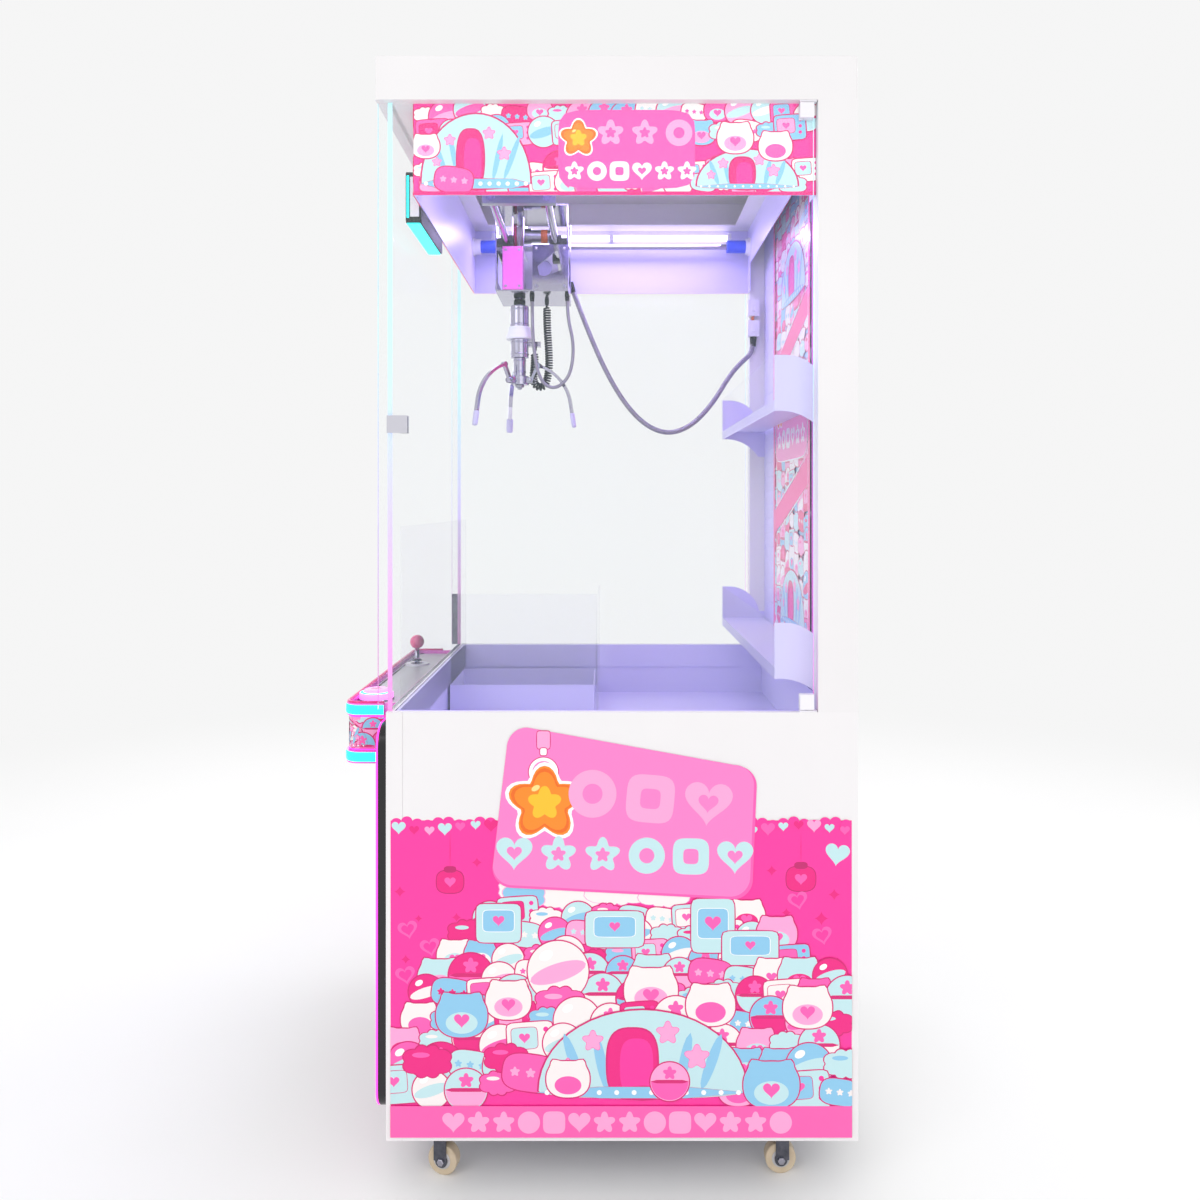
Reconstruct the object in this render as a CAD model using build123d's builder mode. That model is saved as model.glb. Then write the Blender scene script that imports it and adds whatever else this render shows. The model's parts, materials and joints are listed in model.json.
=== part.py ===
from build123d import *
import os
from math import cos, pi, radians, sin, tan

# Claw crane machine. Millimetres, +Z up, the player stands on the -Y side.
# The origin is on the floor, under the middle of the whole machine's box.

# ---------------------------------------------------------------- driving dimensions
WIDTH = 800.0              # cabinet, across X
HEIGHT = 1950.0            # floor to header top
BACK_Y = 453.0             # rear face
FRONT_Y = -356.0           # front face of the cabinet boards
PANEL_FRONT_Y = FRONT_Y - 97.0    # front of the control box's light bands
HEADER_FRONT_Y = FRONT_Y - 19.0
HEADER_H = 77.0
CASTER_H = 89.0            # floor to the cabinet's underside
SILL_Z = 823.0             # top of the lower cabinet
BOARD = 12.0               # cabinet boards
SHEET = 2.0                # folded sheet metal
GLASS = 6.0                # tempered glass
ACRYLIC = 4.0              # clear guards and lips
FIT = 0.05                 # radial play of every shaft in its bore
GAP = 2.0                  # play round a door or between a moving and a fixed panel

HALF_W = WIDTH / 2
HEADER_Z = HEIGHT - HEADER_H
INNER_X = HALF_W - BOARD
BOARD_FRONT_IN = FRONT_Y + BOARD
BOARD_BACK_IN = BACK_Y - BOARD

# Rear posts and glazing
POST_W = 34.0              # along X
POST_D = 68.4              # along Y
POST_FRONT_Y = BACK_Y - POST_D
GLASS_OUT_X = HALF_W - 5.0
GLASS_IN_X = GLASS_OUT_X - GLASS
SIDE_GLASS_FRONT_Y = FRONT_Y - 15.0
GLASS_BACK_Y = POST_FRONT_Y - 6.6
DOOR_LIFT = 4.0            # gap under and over the glass door
PIVOT_X = (GLASS_OUT_X + GLASS_IN_X) / 2
PIVOT_Y = GLASS_BACK_Y - 6.0
PIVOT_R = 3.0
CLAMP_WALL = 4.0
LOCK_Z = (SILL_Z + HEADER_Z) / 2 - 31.0
LOCK_Y = FRONT_Y + 25.0
CAM_REACH, CAM_H = 16.0, 13.0    # axis to tip, and the cam's width
SPINDLE_R = 3.0            # the lock's spindle

# Skirt ring under the header
SKIRT_H = 158.0
SKIRT_X = HALF_W - 18.0
SKIRT_FRONT_Y = FRONT_Y + 44.0
SKIRT_BACK_Y = POST_FRONT_Y - 0.6

# Back wall, shelves
WALL_Y = BACK_Y - 31.0
WALL_T = 3.0
SHELF_HALF = HALF_W - 37.0
SHELF_DEPTH = 106.0
SHELF_LIP_H = 78.0
SHELF_TOPS = (SILL_Z + 71.0, HEADER_Z - 510.0)
ART_HALF = 197.0
ART_T = 4.0

# Prize well and chute
WELL_X = HALF_W - 14.0
WELL_FRONT_Y = FRONT_Y + 14.0
WELL_BACK_Y = BACK_Y - 33.0
WELL_FLOOR_Z = SILL_Z - 123.0
RIM_H = 56.0
CHUTE_X0, CHUTE_X1 = 50.0 - HALF_W, 260.0 - HALF_W
CHUTE_Y0, CHUTE_Y1 = FRONT_Y + 21.0, FRONT_Y + 351.0
CHUTE_TOP = SILL_Z - RIM_H
GUARD_TOP = 1141.0
DIVIDER_TOP = 975.0
PRIZE_X, PRIZE_Z = (CHUTE_X0 + CHUTE_X1) / 2, 470.0      # centre of the prize opening
PRIZE_W, PRIZE_H = 190.0, 240.0
COIN_X, COIN_Z = HALF_W - 202.0, 440.0         # centre of the coin door
COIN_W, COIN_H = 216.0, 320.0

# Front bezel and control box
BEZEL_HALF = HALF_W - 28.0
BEZEL_Z0, BEZEL_Z1 = 115.0, 792.0
BEZEL_T = 24.0
BEZEL_FRONT_Y = FRONT_Y - BEZEL_T
CONTROL_HALF = HALF_W - 86.0
CONTROL_Z0, CONTROL_Z1 = 712.0, 820.0
BAND_H = 22.0
BAND_PROUD = 5.0
CONTROL_R = 28.0
CONTROL_WALL = 4.0
PLATE_Z = CONTROL_Z1 - 8.0  # top face of the control plate
PLATE_T = 3.0
STICK_X, STICK_Y = 164.0 - CONTROL_HALF, PANEL_FRONT_Y + 41.0
BUTTON_X, BUTTON_Y = CONTROL_HALF - 79.0, PANEL_FRONT_Y + 41.0
BUTTON_R = 24.0

# Gantry
ROD_R = 7.0
RAIL_X, RAIL_Z = HALF_W - 57.0, HEADER_Z - 50.0
RAIL_FRONT_Y, RAIL_BACK_Y = SKIRT_FRONT_Y + 22.0, SKIRT_BACK_Y - 14.0
BUFFER_L, BUFFER_R = 46.0, 15.5
BRIDGE_Y = -133.0          # middle of the bridge at rest
BRIDGE_PITCH = 100.0       # between the two bridge rods
BRIDGE_Z = RAIL_Z - 101.0
TRUCK_T, TRUCK_L = 14.0, 130.0
CARRIAGE_X = 75.0          # half width across X
CARRIAGE_Y0, CARRIAGE_Y1 = -206.0, -56.0
CARRIAGE_Z0, CARRIAGE_Z1 = BRIDGE_Z - 104.0, BRIDGE_Z + 76.0
DRUM_R, DRUM_W, DRUM_Z = 27.0, 20.0, BRIDGE_Z + 35.0
DRUM_CORE_R = 19.0
DRUM_SHAFT_R = 4.0

# Claw
CLAW_Y = -163.0
CLAW_TOP = CARRIAGE_Z0 - 12.0
FINGER_PIVOT_R, FINGER_PIVOT_Z = 27.0, CLAW_TOP - 163.0
FINGER_W = 9.0
FINGER_PIN_R = 2.0
FINGER_TURN = 14.0         # first finger's angle from +Y towards +X, degrees

# Casters
WHEEL_R, WHEEL_W = 27.0, 20.0
CASTER_X = HALF_W - 56.0
CASTER_BACK_Y, CASTER_FRONT_Y = BACK_Y - 107.0, FRONT_Y + 75.0
CASTER_TRAIL = 17.0
AXLE_R = 4.0
KING_R = 5.0

os.makedirs("parts", exist_ok=True)


def save(piece, label):
    """Label a finished piece and write its STEP file."""
    piece.label = label
    export_step(piece, "parts/" + label + ".step")


def block(x0, x1, y0, y1, z0, z1, mode=Mode.ADD):
    """A box between two corners, for use inside a BuildPart."""
    with Locations(((x0 + x1) / 2, (y0 + y1) / 2, (z0 + z1) / 2)):
        Box(x1 - x0, y1 - y0, z1 - z0, mode=mode)


def rod_along(axis, radius, centre, length, mode=Mode.ADD):
    """A cylinder centred at a point, along 'X', 'Y' or 'Z', for use inside a BuildPart."""
    turn = {"X": (0, 90, 0), "Y": (90, 0, 0), "Z": (0, 0, 0)}[axis]
    with Locations(Location(centre, turn)):
        Cylinder(radius, length, mode=mode)


# ---------------------------------------------------------------- lower cabinet
with BuildPart() as side_panels:
    for side in (-1, 1):
        x0, x1 = sorted((side * INNER_X, side * HALF_W))
        block(x0, x1, FRONT_Y, BACK_Y, CASTER_H, SILL_Z)
        groove = side * (HALF_W - 0.5)
        block(groove - 0.5, groove + 0.5, FRONT_Y + 28, FRONT_Y + 29.2, CASTER_H, SILL_Z, Mode.SUBTRACT)
save(side_panels.part, "side_panels")

PAN_FLANGE = 30.0
with BuildPart() as base_pan:
    block(-INNER_X, INNER_X, BOARD_FRONT_IN, BOARD_BACK_IN, CASTER_H, CASTER_H + PAN_FLANGE)
    block(-INNER_X + 3, INNER_X - 3, BOARD_FRONT_IN + 3, BOARD_BACK_IN - 3,
          CASTER_H + 3, CASTER_H + PAN_FLANGE + 1, Mode.SUBTRACT)
save(base_pan.part, "base_pan")

FLAP_GAP = 2.0
FLAP_BARREL_R = 5.0
FLAP_PIN_R = 2.5
FLAP_AXIS_Y = FRONT_Y + BOARD / 2
FLAP_AXIS_Z = PRIZE_Z + PRIZE_H / 2 - FLAP_BARREL_R - 1
with BuildPart() as front_panel:
    block(-INNER_X, INNER_X, FRONT_Y, BOARD_FRONT_IN, CASTER_H, SILL_Z)
    with BuildSketch(Plane.XZ.offset(-FRONT_Y)):
        with Locations((PRIZE_X, PRIZE_Z)):
            Rectangle(PRIZE_W, PRIZE_H)
        with Locations((COIN_X, COIN_Z)):
            Rectangle(COIN_W - 30, COIN_H - 30)
    extrude(amount=-BOARD, mode=Mode.SUBTRACT)
    rod_along("X", FLAP_PIN_R + FIT, (PRIZE_X, FLAP_AXIS_Y, FLAP_AXIS_Z), PRIZE_W + 16, Mode.SUBTRACT)
save(front_panel.part, "front_panel")

with BuildPart() as prize_flap:
    rod_along("X", FLAP_BARREL_R, (PRIZE_X, FLAP_AXIS_Y, FLAP_AXIS_Z), PRIZE_W - 2 * FLAP_GAP)
    rod_along("X", FLAP_PIN_R, (PRIZE_X, FLAP_AXIS_Y, FLAP_AXIS_Z), PRIZE_W + 14)
    block(PRIZE_X - PRIZE_W / 2 + FLAP_GAP, PRIZE_X + PRIZE_W / 2 - FLAP_GAP,
          FLAP_AXIS_Y - 2, FLAP_AXIS_Y + 2, PRIZE_Z - PRIZE_H / 2 + FLAP_GAP, FLAP_AXIS_Z)
save(prize_flap.part, "prize_flap")

HINGE_R = 4.5
HINGE_PIN_R = 2.0
COIN_T = 4.0
COIN_HINGE_X = COIN_X + COIN_W / 2 + 1
COIN_HINGE_Y = BEZEL_FRONT_Y - HINGE_R - 0.5
KNUCKLE, LEAF_KNUCKLE = 24.0, 12.0    # the door's middle knuckle and the two outer ones
KNUCKLE_STEP = (KNUCKLE + LEAF_KNUCKLE) / 2 + 0.5
with BuildPart() as front_bezel:
    with BuildSketch(Plane.XZ.offset(-FRONT_Y)):
        with Locations((0, (BEZEL_Z0 + BEZEL_Z1) / 2)):
            RectangleRounded(2 * BEZEL_HALF, BEZEL_Z1 - BEZEL_Z0, 40)
        with Locations((PRIZE_X, PRIZE_Z)):
            RectangleRounded(PRIZE_W, PRIZE_H, 18, mode=Mode.SUBTRACT)
        with Locations((COIN_X, COIN_Z)):
            Rectangle(COIN_W, COIN_H, mode=Mode.SUBTRACT)
    extrude(amount=BEZEL_T)
    front_edges = front_bezel.faces().sort_by(Axis.Y)[0].outer_wire().edges()
    fillet(front_edges, 6)
    for level in (-1, 1):
        knuckle_z = COIN_Z + level * (COIN_H / 2 - 40)
        for end in (-1, 1):
            centre = (COIN_HINGE_X, COIN_HINGE_Y, knuckle_z + end * KNUCKLE_STEP)
            rod_along("Z", HINGE_R, centre, LEAF_KNUCKLE)
            block(COIN_HINGE_X, COIN_HINGE_X + 14, COIN_HINGE_Y, BEZEL_FRONT_Y,
                  centre[2] - LEAF_KNUCKLE / 2, centre[2] + LEAF_KNUCKLE / 2)
        rod_along("Z", HINGE_PIN_R, (COIN_HINGE_X, COIN_HINGE_Y, knuckle_z), KNUCKLE + 14)
save(front_bezel.part, "front_bezel")

with BuildPart() as coin_door:
    block(COIN_X - COIN_W / 2 + GAP, COIN_X + COIN_W / 2 - GAP, BEZEL_FRONT_Y, BEZEL_FRONT_Y + COIN_T,
          COIN_Z - COIN_H / 2 + GAP, COIN_Z + COIN_H / 2 - GAP)
    for level in (-1, 1):
        knuckle_z = COIN_Z + level * (COIN_H / 2 - 40)
        rod_along("Z", HINGE_R, (COIN_HINGE_X, COIN_HINGE_Y, knuckle_z), KNUCKLE)
        block(COIN_HINGE_X - 22, COIN_HINGE_X, COIN_HINGE_Y, BEZEL_FRONT_Y,
              knuckle_z - KNUCKLE / 2, knuckle_z + KNUCKLE / 2)
        rod_along("Z", HINGE_PIN_R + FIT, (COIN_HINGE_X, COIN_HINGE_Y, knuckle_z), KNUCKLE + 2,
                  Mode.SUBTRACT)
    rod_along("Y", 13, (COIN_X - 60, BEZEL_FRONT_Y - 2, COIN_Z - 90), 4)
    block(COIN_X - 22, COIN_X + 22, BEZEL_FRONT_Y - 6, BEZEL_FRONT_Y, COIN_Z + 40, COIN_Z + 110)
    block(COIN_X - 2, COIN_X + 2, BEZEL_FRONT_Y - 7, BEZEL_FRONT_Y + COIN_T + 1,
          COIN_Z + 58, COIN_Z + 92, Mode.SUBTRACT)
    block(COIN_X - 30, COIN_X + 30, BEZEL_FRONT_Y - 1, BEZEL_FRONT_Y + COIN_T + 1,
          COIN_Z - 60, COIN_Z - 10, Mode.SUBTRACT)
save(coin_door.part, "coin_door")

BACK_DOOR_W, BACK_DOOR_H, BACK_DOOR_Z = 460.0, 480.0, 440.0
BACK_HINGE_X = BACK_DOOR_W / 2 + 1
BACK_HINGE_Y = BACK_Y - HINGE_R
BACK_DOOR_Y = BACK_HINGE_Y - 0.5
INLET_X, INLET_Z = 84.0 - HALF_W, 160.0        # centre of the power inlet
INLET_W, INLET_H = 28.0, 20.0
with BuildPart() as rear_panel:
    block(-INNER_X, INNER_X, BOARD_BACK_IN, BACK_Y, CASTER_H, SILL_Z)
    block(-BACK_DOOR_W / 2, BACK_DOOR_W / 2 + 24, BOARD_BACK_IN + 3, BACK_Y + 1,
          BACK_DOOR_Z - BACK_DOOR_H / 2, BACK_DOOR_Z + BACK_DOOR_H / 2, Mode.SUBTRACT)
    block(-BACK_DOOR_W / 2 + 20, BACK_DOOR_W / 2 - 20, BOARD_BACK_IN - 1, BACK_Y,
          BACK_DOOR_Z - BACK_DOOR_H / 2 + 20, BACK_DOOR_Z + BACK_DOOR_H / 2 - 20, Mode.SUBTRACT)
    for level in (-1, 1):
        knuckle_z = BACK_DOOR_Z + level * (BACK_DOOR_H / 2 - 60)
        for end in (-1, 1):
            centre = (BACK_HINGE_X, BACK_HINGE_Y, knuckle_z + end * KNUCKLE_STEP)
            rod_along("Z", HINGE_R, centre, LEAF_KNUCKLE)
            block(BACK_HINGE_X, BACK_HINGE_X + 20, BOARD_BACK_IN + 2, BACK_HINGE_Y,
                  centre[2] - LEAF_KNUCKLE / 2, centre[2] + LEAF_KNUCKLE / 2)
        rod_along("Z", HINGE_PIN_R, (BACK_HINGE_X, BACK_HINGE_Y, knuckle_z), KNUCKLE + 14)
    block(INLET_X - INLET_W / 2, INLET_X + INLET_W / 2, BOARD_BACK_IN - 1, BACK_Y + 1,
          INLET_Z - INLET_H / 2, INLET_Z + INLET_H / 2, Mode.SUBTRACT)
save(rear_panel.part, "rear_panel")

with BuildPart() as back_door:
    block(-BACK_DOOR_W / 2 + GAP, BACK_HINGE_X - 6, BACK_DOOR_Y - 3, BACK_DOOR_Y,
          BACK_DOOR_Z - BACK_DOOR_H / 2 + GAP, BACK_DOOR_Z + BACK_DOOR_H / 2 - GAP)
    for level in (-1, 1):
        knuckle_z = BACK_DOOR_Z + level * (BACK_DOOR_H / 2 - 60)
        rod_along("Z", HINGE_R, (BACK_HINGE_X, BACK_HINGE_Y, knuckle_z), KNUCKLE)
        block(BACK_HINGE_X - 20, BACK_HINGE_X, BACK_DOOR_Y - 2, BACK_DOOR_Y + 1.5,
              knuckle_z - KNUCKLE / 2, knuckle_z + KNUCKLE / 2)
        rod_along("Z", HINGE_PIN_R + FIT, (BACK_HINGE_X, BACK_HINGE_Y, knuckle_z), KNUCKLE + 2,
                  Mode.SUBTRACT)
    rod_along("Y", 10, (-BACK_DOOR_W / 2 + 30, BACK_DOOR_Y + 2, BACK_DOOR_Z), 4)
    for row in range(5):
        slot_z = BACK_DOOR_Z - 150 + row * 22
        block(-80, 80, BACK_DOOR_Y - 4, BACK_DOOR_Y + 1, slot_z - 4, slot_z + 4, Mode.SUBTRACT)
save(back_door.part, "back_door")

with BuildPart() as power_inlet:
    block(INLET_X - INLET_W / 2, INLET_X + INLET_W / 2, BOARD_BACK_IN - 22, BACK_Y,
          INLET_Z - INLET_H / 2, INLET_Z + INLET_H / 2)
    block(INLET_X - 10, INLET_X + 10, BACK_Y - 16, BACK_Y + 1, INLET_Z - 6, INLET_Z + 6, Mode.SUBTRACT)
    for step in (-5, 0, 5):
        block(INLET_X + step - 1, INLET_X + step + 1, BACK_Y - 18, BACK_Y - 4, INLET_Z - 2, INLET_Z + 2)
save(power_inlet.part, "power_inlet")

# ---------------------------------------------------------------- window frame
with BuildPart() as header_shell:
    block(-HALF_W, HALF_W, HEADER_FRONT_Y, BACK_Y, HEADER_Z, HEIGHT)
    outer_edges = header_shell.edges().filter_by(Axis.Z) + header_shell.faces().sort_by(Axis.Z)[-1].edges()
    fillet(outer_edges, 4)
    block(-HALF_W + SHEET, HALF_W - SHEET, HEADER_FRONT_Y + SHEET, BACK_Y - SHEET,
          HEADER_Z + 3, HEIGHT - SHEET, Mode.SUBTRACT)
    block(52 - SKIRT_X, SKIRT_X - 52, SKIRT_FRONT_Y + 40, SKIRT_BACK_Y - 40,
          HEADER_Z - 1, HEADER_Z + 4, Mode.SUBTRACT)
save(header_shell.part, "header_shell")

with BuildPart() as rear_posts:
    for side in (-1, 1):
        x0, x1 = sorted((side * (HALF_W - POST_W), side * HALF_W))
        block(x0, x1, POST_FRONT_Y, BACK_Y, SILL_Z, HEADER_Z)
        block(x0 + SHEET, x1 - SHEET, POST_FRONT_Y + SHEET, BACK_Y - SHEET,
              SILL_Z - 1, HEADER_Z + 1, Mode.SUBTRACT)
save(rear_posts.part, "rear_posts")

POST_IN_X = HALF_W - POST_W
HOLE_PITCH, HOLE_R = 34.0, 2.6
with BuildPart() as back_wall:
    block(-POST_IN_X, POST_IN_X, WALL_Y, WALL_Y + WALL_T, SILL_Z - 50, HEADER_Z)
    for side in (-1, 1):
        with BuildSketch(Plane.XZ.offset(-WALL_Y)):
            with Locations((side * (ART_HALF + POST_IN_X) / 2, (SILL_Z + HEADER_Z) / 2)):
                with GridLocations(HOLE_PITCH, HOLE_PITCH, 5, 27):
                    Circle(HOLE_R)
        extrude(amount=-WALL_T, mode=Mode.SUBTRACT)
save(back_wall.part, "back_wall")

with BuildPart() as back_art_panel:
    block(-ART_HALF, ART_HALF, WALL_Y - ART_T, WALL_Y, SILL_Z + 4, HEADER_Z - 30)
save(back_art_panel.part, "back_art_panel")

with BuildPart() as fixed_glass:
    block(-WELL_X, WELL_X, FRONT_Y, FRONT_Y + GLASS + 2, SILL_Z, HEADER_Z)
    block(-GLASS_OUT_X, -GLASS_IN_X, SIDE_GLASS_FRONT_Y, GLASS_BACK_Y, SILL_Z, HEADER_Z)
save(fixed_glass.part, "fixed_glass")

DOOR_Z0, DOOR_Z1 = SILL_Z + DOOR_LIFT, HEADER_Z - DOOR_LIFT
CLAMP_H, CLAMP_L = 26.0, 24.0
CLAMP_HALF = CLAMP_WALL + GLASS / 2
PIN_L = 14.0
with BuildPart() as side_glass_door:
    block(GLASS_IN_X, GLASS_OUT_X, SIDE_GLASS_FRONT_Y, GLASS_BACK_Y, DOOR_Z0, DOOR_Z1)
    for z0 in (DOOR_Z0, DOOR_Z1 - CLAMP_H):
        block(GLASS_IN_X - 1, GLASS_OUT_X + 1, GLASS_BACK_Y - CLAMP_L + 8, GLASS_BACK_Y + 1,
              z0 - 1, z0 + CLAMP_H + 1, Mode.SUBTRACT)
save(side_glass_door.part, "side_glass_door")

STRIKE_X1 = GLASS_IN_X - 3.0
with BuildPart() as glass_fittings:
    for z0, mouth in ((DOOR_Z0, -1), (DOOR_Z1 - CLAMP_H, 1)):
        block(PIVOT_X - CLAMP_HALF, PIVOT_X + CLAMP_HALF, GLASS_BACK_Y - CLAMP_L, GLASS_BACK_Y,
              z0, z0 + CLAMP_H)
        block(GLASS_IN_X, GLASS_OUT_X, GLASS_BACK_Y - CLAMP_L - 1, GLASS_BACK_Y - CLAMP_L + 8,
              z0 - 1, z0 + CLAMP_H + 1, Mode.SUBTRACT)
        pin_mouth = z0 + CLAMP_H / 2 + mouth * CLAMP_H / 2
        rod_along("Z", PIVOT_R + FIT, (PIVOT_X, PIVOT_Y, pin_mouth), 2 * PIN_L, Mode.SUBTRACT)
    block(GLASS_OUT_X, HALF_W - 1, LOCK_Y - 24, LOCK_Y + 11, LOCK_Z - 15, LOCK_Z + 15)
    block(GLASS_IN_X - 7, GLASS_IN_X, LOCK_Y - 4, LOCK_Y + 11, LOCK_Z - 15, LOCK_Z + 15)
    rod_along("X", 10, (HALF_W - 2, LOCK_Y, LOCK_Z), 4)
    rod_along("X", SPINDLE_R, (GLASS_IN_X - 10, LOCK_Y, LOCK_Z), 6)
save(glass_fittings.part, "glass_fittings")

CAM_T = 3.0
with BuildPart() as lock_cam:
    with BuildSketch(Plane.YZ.offset(GLASS_IN_X - 8 - CAM_T)):
        with Locations((LOCK_Y, LOCK_Z + (CAM_REACH - CAM_H / 2) / 2)):
            SlotOverall(CAM_REACH + CAM_H / 2, CAM_H, rotation=90)
        with Locations((LOCK_Y, LOCK_Z)):
            Circle(SPINDLE_R + FIT, mode=Mode.SUBTRACT)
    extrude(amount=CAM_T)
save(lock_cam.part, "lock_cam")

with BuildPart() as glass_pivots:
    for z_plate, up in ((SILL_Z, 1), (HEADER_Z, -1)):
        z0, z1 = sorted((z_plate, z_plate + up * (DOOR_LIFT - 1.5)))
        block(PIVOT_X - 6, PIVOT_X + 6, PIVOT_Y - 18, PIVOT_Y + 11, z0, z1)
        rod_along("Z", PIVOT_R, (PIVOT_X, PIVOT_Y, z_plate + up * PIN_L / 2), PIN_L)
    block(STRIKE_X1 - 4, STRIKE_X1, FRONT_Y + GLASS + 2, LOCK_Y - 8, LOCK_Z - 14, LOCK_Z + 14)
save(glass_pivots.part, "glass_pivots")

with BuildPart() as skirt_ring:
    block(-SKIRT_X, SKIRT_X, SKIRT_FRONT_Y, SKIRT_BACK_Y, HEADER_Z - SKIRT_H, HEADER_Z)
    block(-SKIRT_X + SHEET, SKIRT_X - SHEET, SKIRT_FRONT_Y + SHEET, SKIRT_BACK_Y - SHEET,
          HEADER_Z - SKIRT_H - 1, HEADER_Z + 1, Mode.SUBTRACT)
    block(-SKIRT_X + 40, SKIRT_X - 40, SKIRT_BACK_Y - 5, SKIRT_BACK_Y + 5,
          HEADER_Z - SKIRT_H - 1, HEADER_Z - 90, Mode.SUBTRACT)
save(skirt_ring.part, "skirt_ring")

DISPLAY_X0, DISPLAY_X1 = HALF_W - 305.0, HALF_W - 85.0
DISPLAY_Z0, DISPLAY_Z1 = HEADER_Z - 185.0, HEADER_Z - 93.0
with BuildPart() as display_unit:
    block(DISPLAY_X0, DISPLAY_X1, SKIRT_FRONT_Y - 28, SKIRT_FRONT_Y, DISPLAY_Z0, DISPLAY_Z1)
    fillet(display_unit.edges().filter_by(Axis.Y), 6)
    block(DISPLAY_X0 + 8, DISPLAY_X1 - 8, SKIRT_FRONT_Y - 29, SKIRT_FRONT_Y - 26,
          DISPLAY_Z0 + 10, DISPLAY_Z1 - 8, Mode.SUBTRACT)
save(display_unit.part, "display_unit")

# ---------------------------------------------------------------- prize well, chute, shelves
with BuildPart() as prize_well:
    block(-WELL_X, WELL_X, WELL_FRONT_Y, WELL_BACK_Y, WELL_FLOOR_Z, SILL_Z - 0.5)
    block(-WELL_X + SHEET, WELL_X - SHEET, WELL_FRONT_Y + SHEET, WELL_BACK_Y - SHEET,
          WELL_FLOOR_Z + SHEET, CHUTE_TOP, Mode.SUBTRACT)
    block(-WELL_X + 5, WELL_X - 5, WELL_FRONT_Y + 5, WELL_BACK_Y - 5, CHUTE_TOP - 1, SILL_Z, Mode.SUBTRACT)
    block(CHUTE_X0, CHUTE_X1, CHUTE_Y0, CHUTE_Y1, WELL_FLOOR_Z - 1, WELL_FLOOR_Z + 3, Mode.SUBTRACT)
save(prize_well.part, "prize_well")

RAMP_BACK_Z = 395.0
PRIZE_Z0, PRIZE_Z1 = PRIZE_Z - PRIZE_H / 2, PRIZE_Z + PRIZE_H / 2
COLLAR_X0, COLLAR_X1 = PRIZE_X - PRIZE_W / 2 - SHEET, PRIZE_X + PRIZE_W / 2 + SHEET
with BuildPart() as chute_box:
    block(CHUTE_X0, CHUTE_X1, CHUTE_Y0, CHUTE_Y1, PRIZE_Z0 - 12, CHUTE_TOP)
    block(CHUTE_X0 + SHEET, CHUTE_X1 - SHEET, CHUTE_Y0 + SHEET, CHUTE_Y1 - SHEET,
          PRIZE_Z0 - 13, CHUTE_TOP + 1, Mode.SUBTRACT)
    with BuildSketch(Plane.YZ.offset(CHUTE_X0 + SHEET)):
        with BuildLine():
            Polyline((CHUTE_Y0, PRIZE_Z0 - 9), (CHUTE_Y1, RAMP_BACK_Z), (CHUTE_Y1, RAMP_BACK_Z + 3),
                     (CHUTE_Y0, PRIZE_Z0 - 6), close=True)
        make_face()
    extrude(amount=CHUTE_X1 - CHUTE_X0 - 2 * SHEET)
    block(COLLAR_X0, COLLAR_X1, BOARD_FRONT_IN, CHUTE_Y0 + 1, PRIZE_Z0 - SHEET, PRIZE_Z1 + SHEET)
    block(COLLAR_X0 + SHEET, COLLAR_X1 - SHEET, BOARD_FRONT_IN - 1, CHUTE_Y0 + SHEET + 0.5,
          PRIZE_Z0, PRIZE_Z1, Mode.SUBTRACT)
save(chute_box.part, "chute_box")

GUARD_Y = WELL_FRONT_Y + 5.5
GUARD_X, DIVIDER_X = WELL_X - 8.0, WELL_X - 14.0
with BuildPart() as guard_sheets:
    block(-GUARD_X, GUARD_X, GUARD_Y, GUARD_Y + ACRYLIC, CHUTE_TOP + 1, GUARD_TOP)
    block(CHUTE_X0, DIVIDER_X, CHUTE_Y1 + 8, CHUTE_Y1 + 8 + ACRYLIC, CHUTE_TOP + 1, DIVIDER_TOP)
    block(CHUTE_X1 + 2, CHUTE_X1 + 2 + ACRYLIC, GUARD_Y + ACRYLIC + 1, CHUTE_Y1 + 7, CHUTE_TOP + 1, DIVIDER_TOP)
save(guard_sheets.part, "guard_sheets")

SHELF_FRONT_Y = WALL_Y - SHELF_DEPTH
with BuildPart() as shelves:
    for top in SHELF_TOPS:
        block(-SHELF_HALF, SHELF_HALF, SHELF_FRONT_Y, WALL_Y - ART_T, top - SHEET, top)
        block(-SHELF_HALF, SHELF_HALF, SHELF_FRONT_Y, SHELF_FRONT_Y + SHEET, top - 20, top)
save(shelves.part, "shelves")

with BuildPart() as shelf_lips:
    for top in SHELF_TOPS:
        block(-SHELF_HALF, SHELF_HALF, SHELF_FRONT_Y - ACRYLIC, SHELF_FRONT_Y, top - 18, top + SHELF_LIP_H)
save(shelf_lips.part, "shelf_lips")

BRACKET_DROP = 64.0
with BuildPart() as shelf_brackets:
    for side in (-1, 1):
        for top in SHELF_TOPS:
            with BuildSketch(Plane.YZ.offset(side * SHELF_HALF)):
                with BuildLine():
                    l1 = Line((SHELF_FRONT_Y, top - 20), (SHELF_FRONT_Y, top + SHELF_LIP_H))
                    l2 = Line(l1 @ 1, (SHELF_FRONT_Y + 16, top + SHELF_LIP_H))
                    l3 = SagittaArc(l2 @ 1, (WALL_Y - 14, top + 16), 18)
                    l4 = Polyline(l3 @ 1, (WALL_Y, top + 16), (WALL_Y, top - BRACKET_DROP),
                                  (WALL_Y - 16, top - BRACKET_DROP))
                    SagittaArc(l4 @ 1, l1 @ 0, -14)
                make_face()
            extrude(amount=side * 3)
save(shelf_brackets.part, "shelf_brackets")

# ---------------------------------------------------------------- control box
BODY_HALF = CONTROL_HALF - BAND_PROUD
BODY_FRONT_Y = PANEL_FRONT_Y + BAND_PROUD


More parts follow.
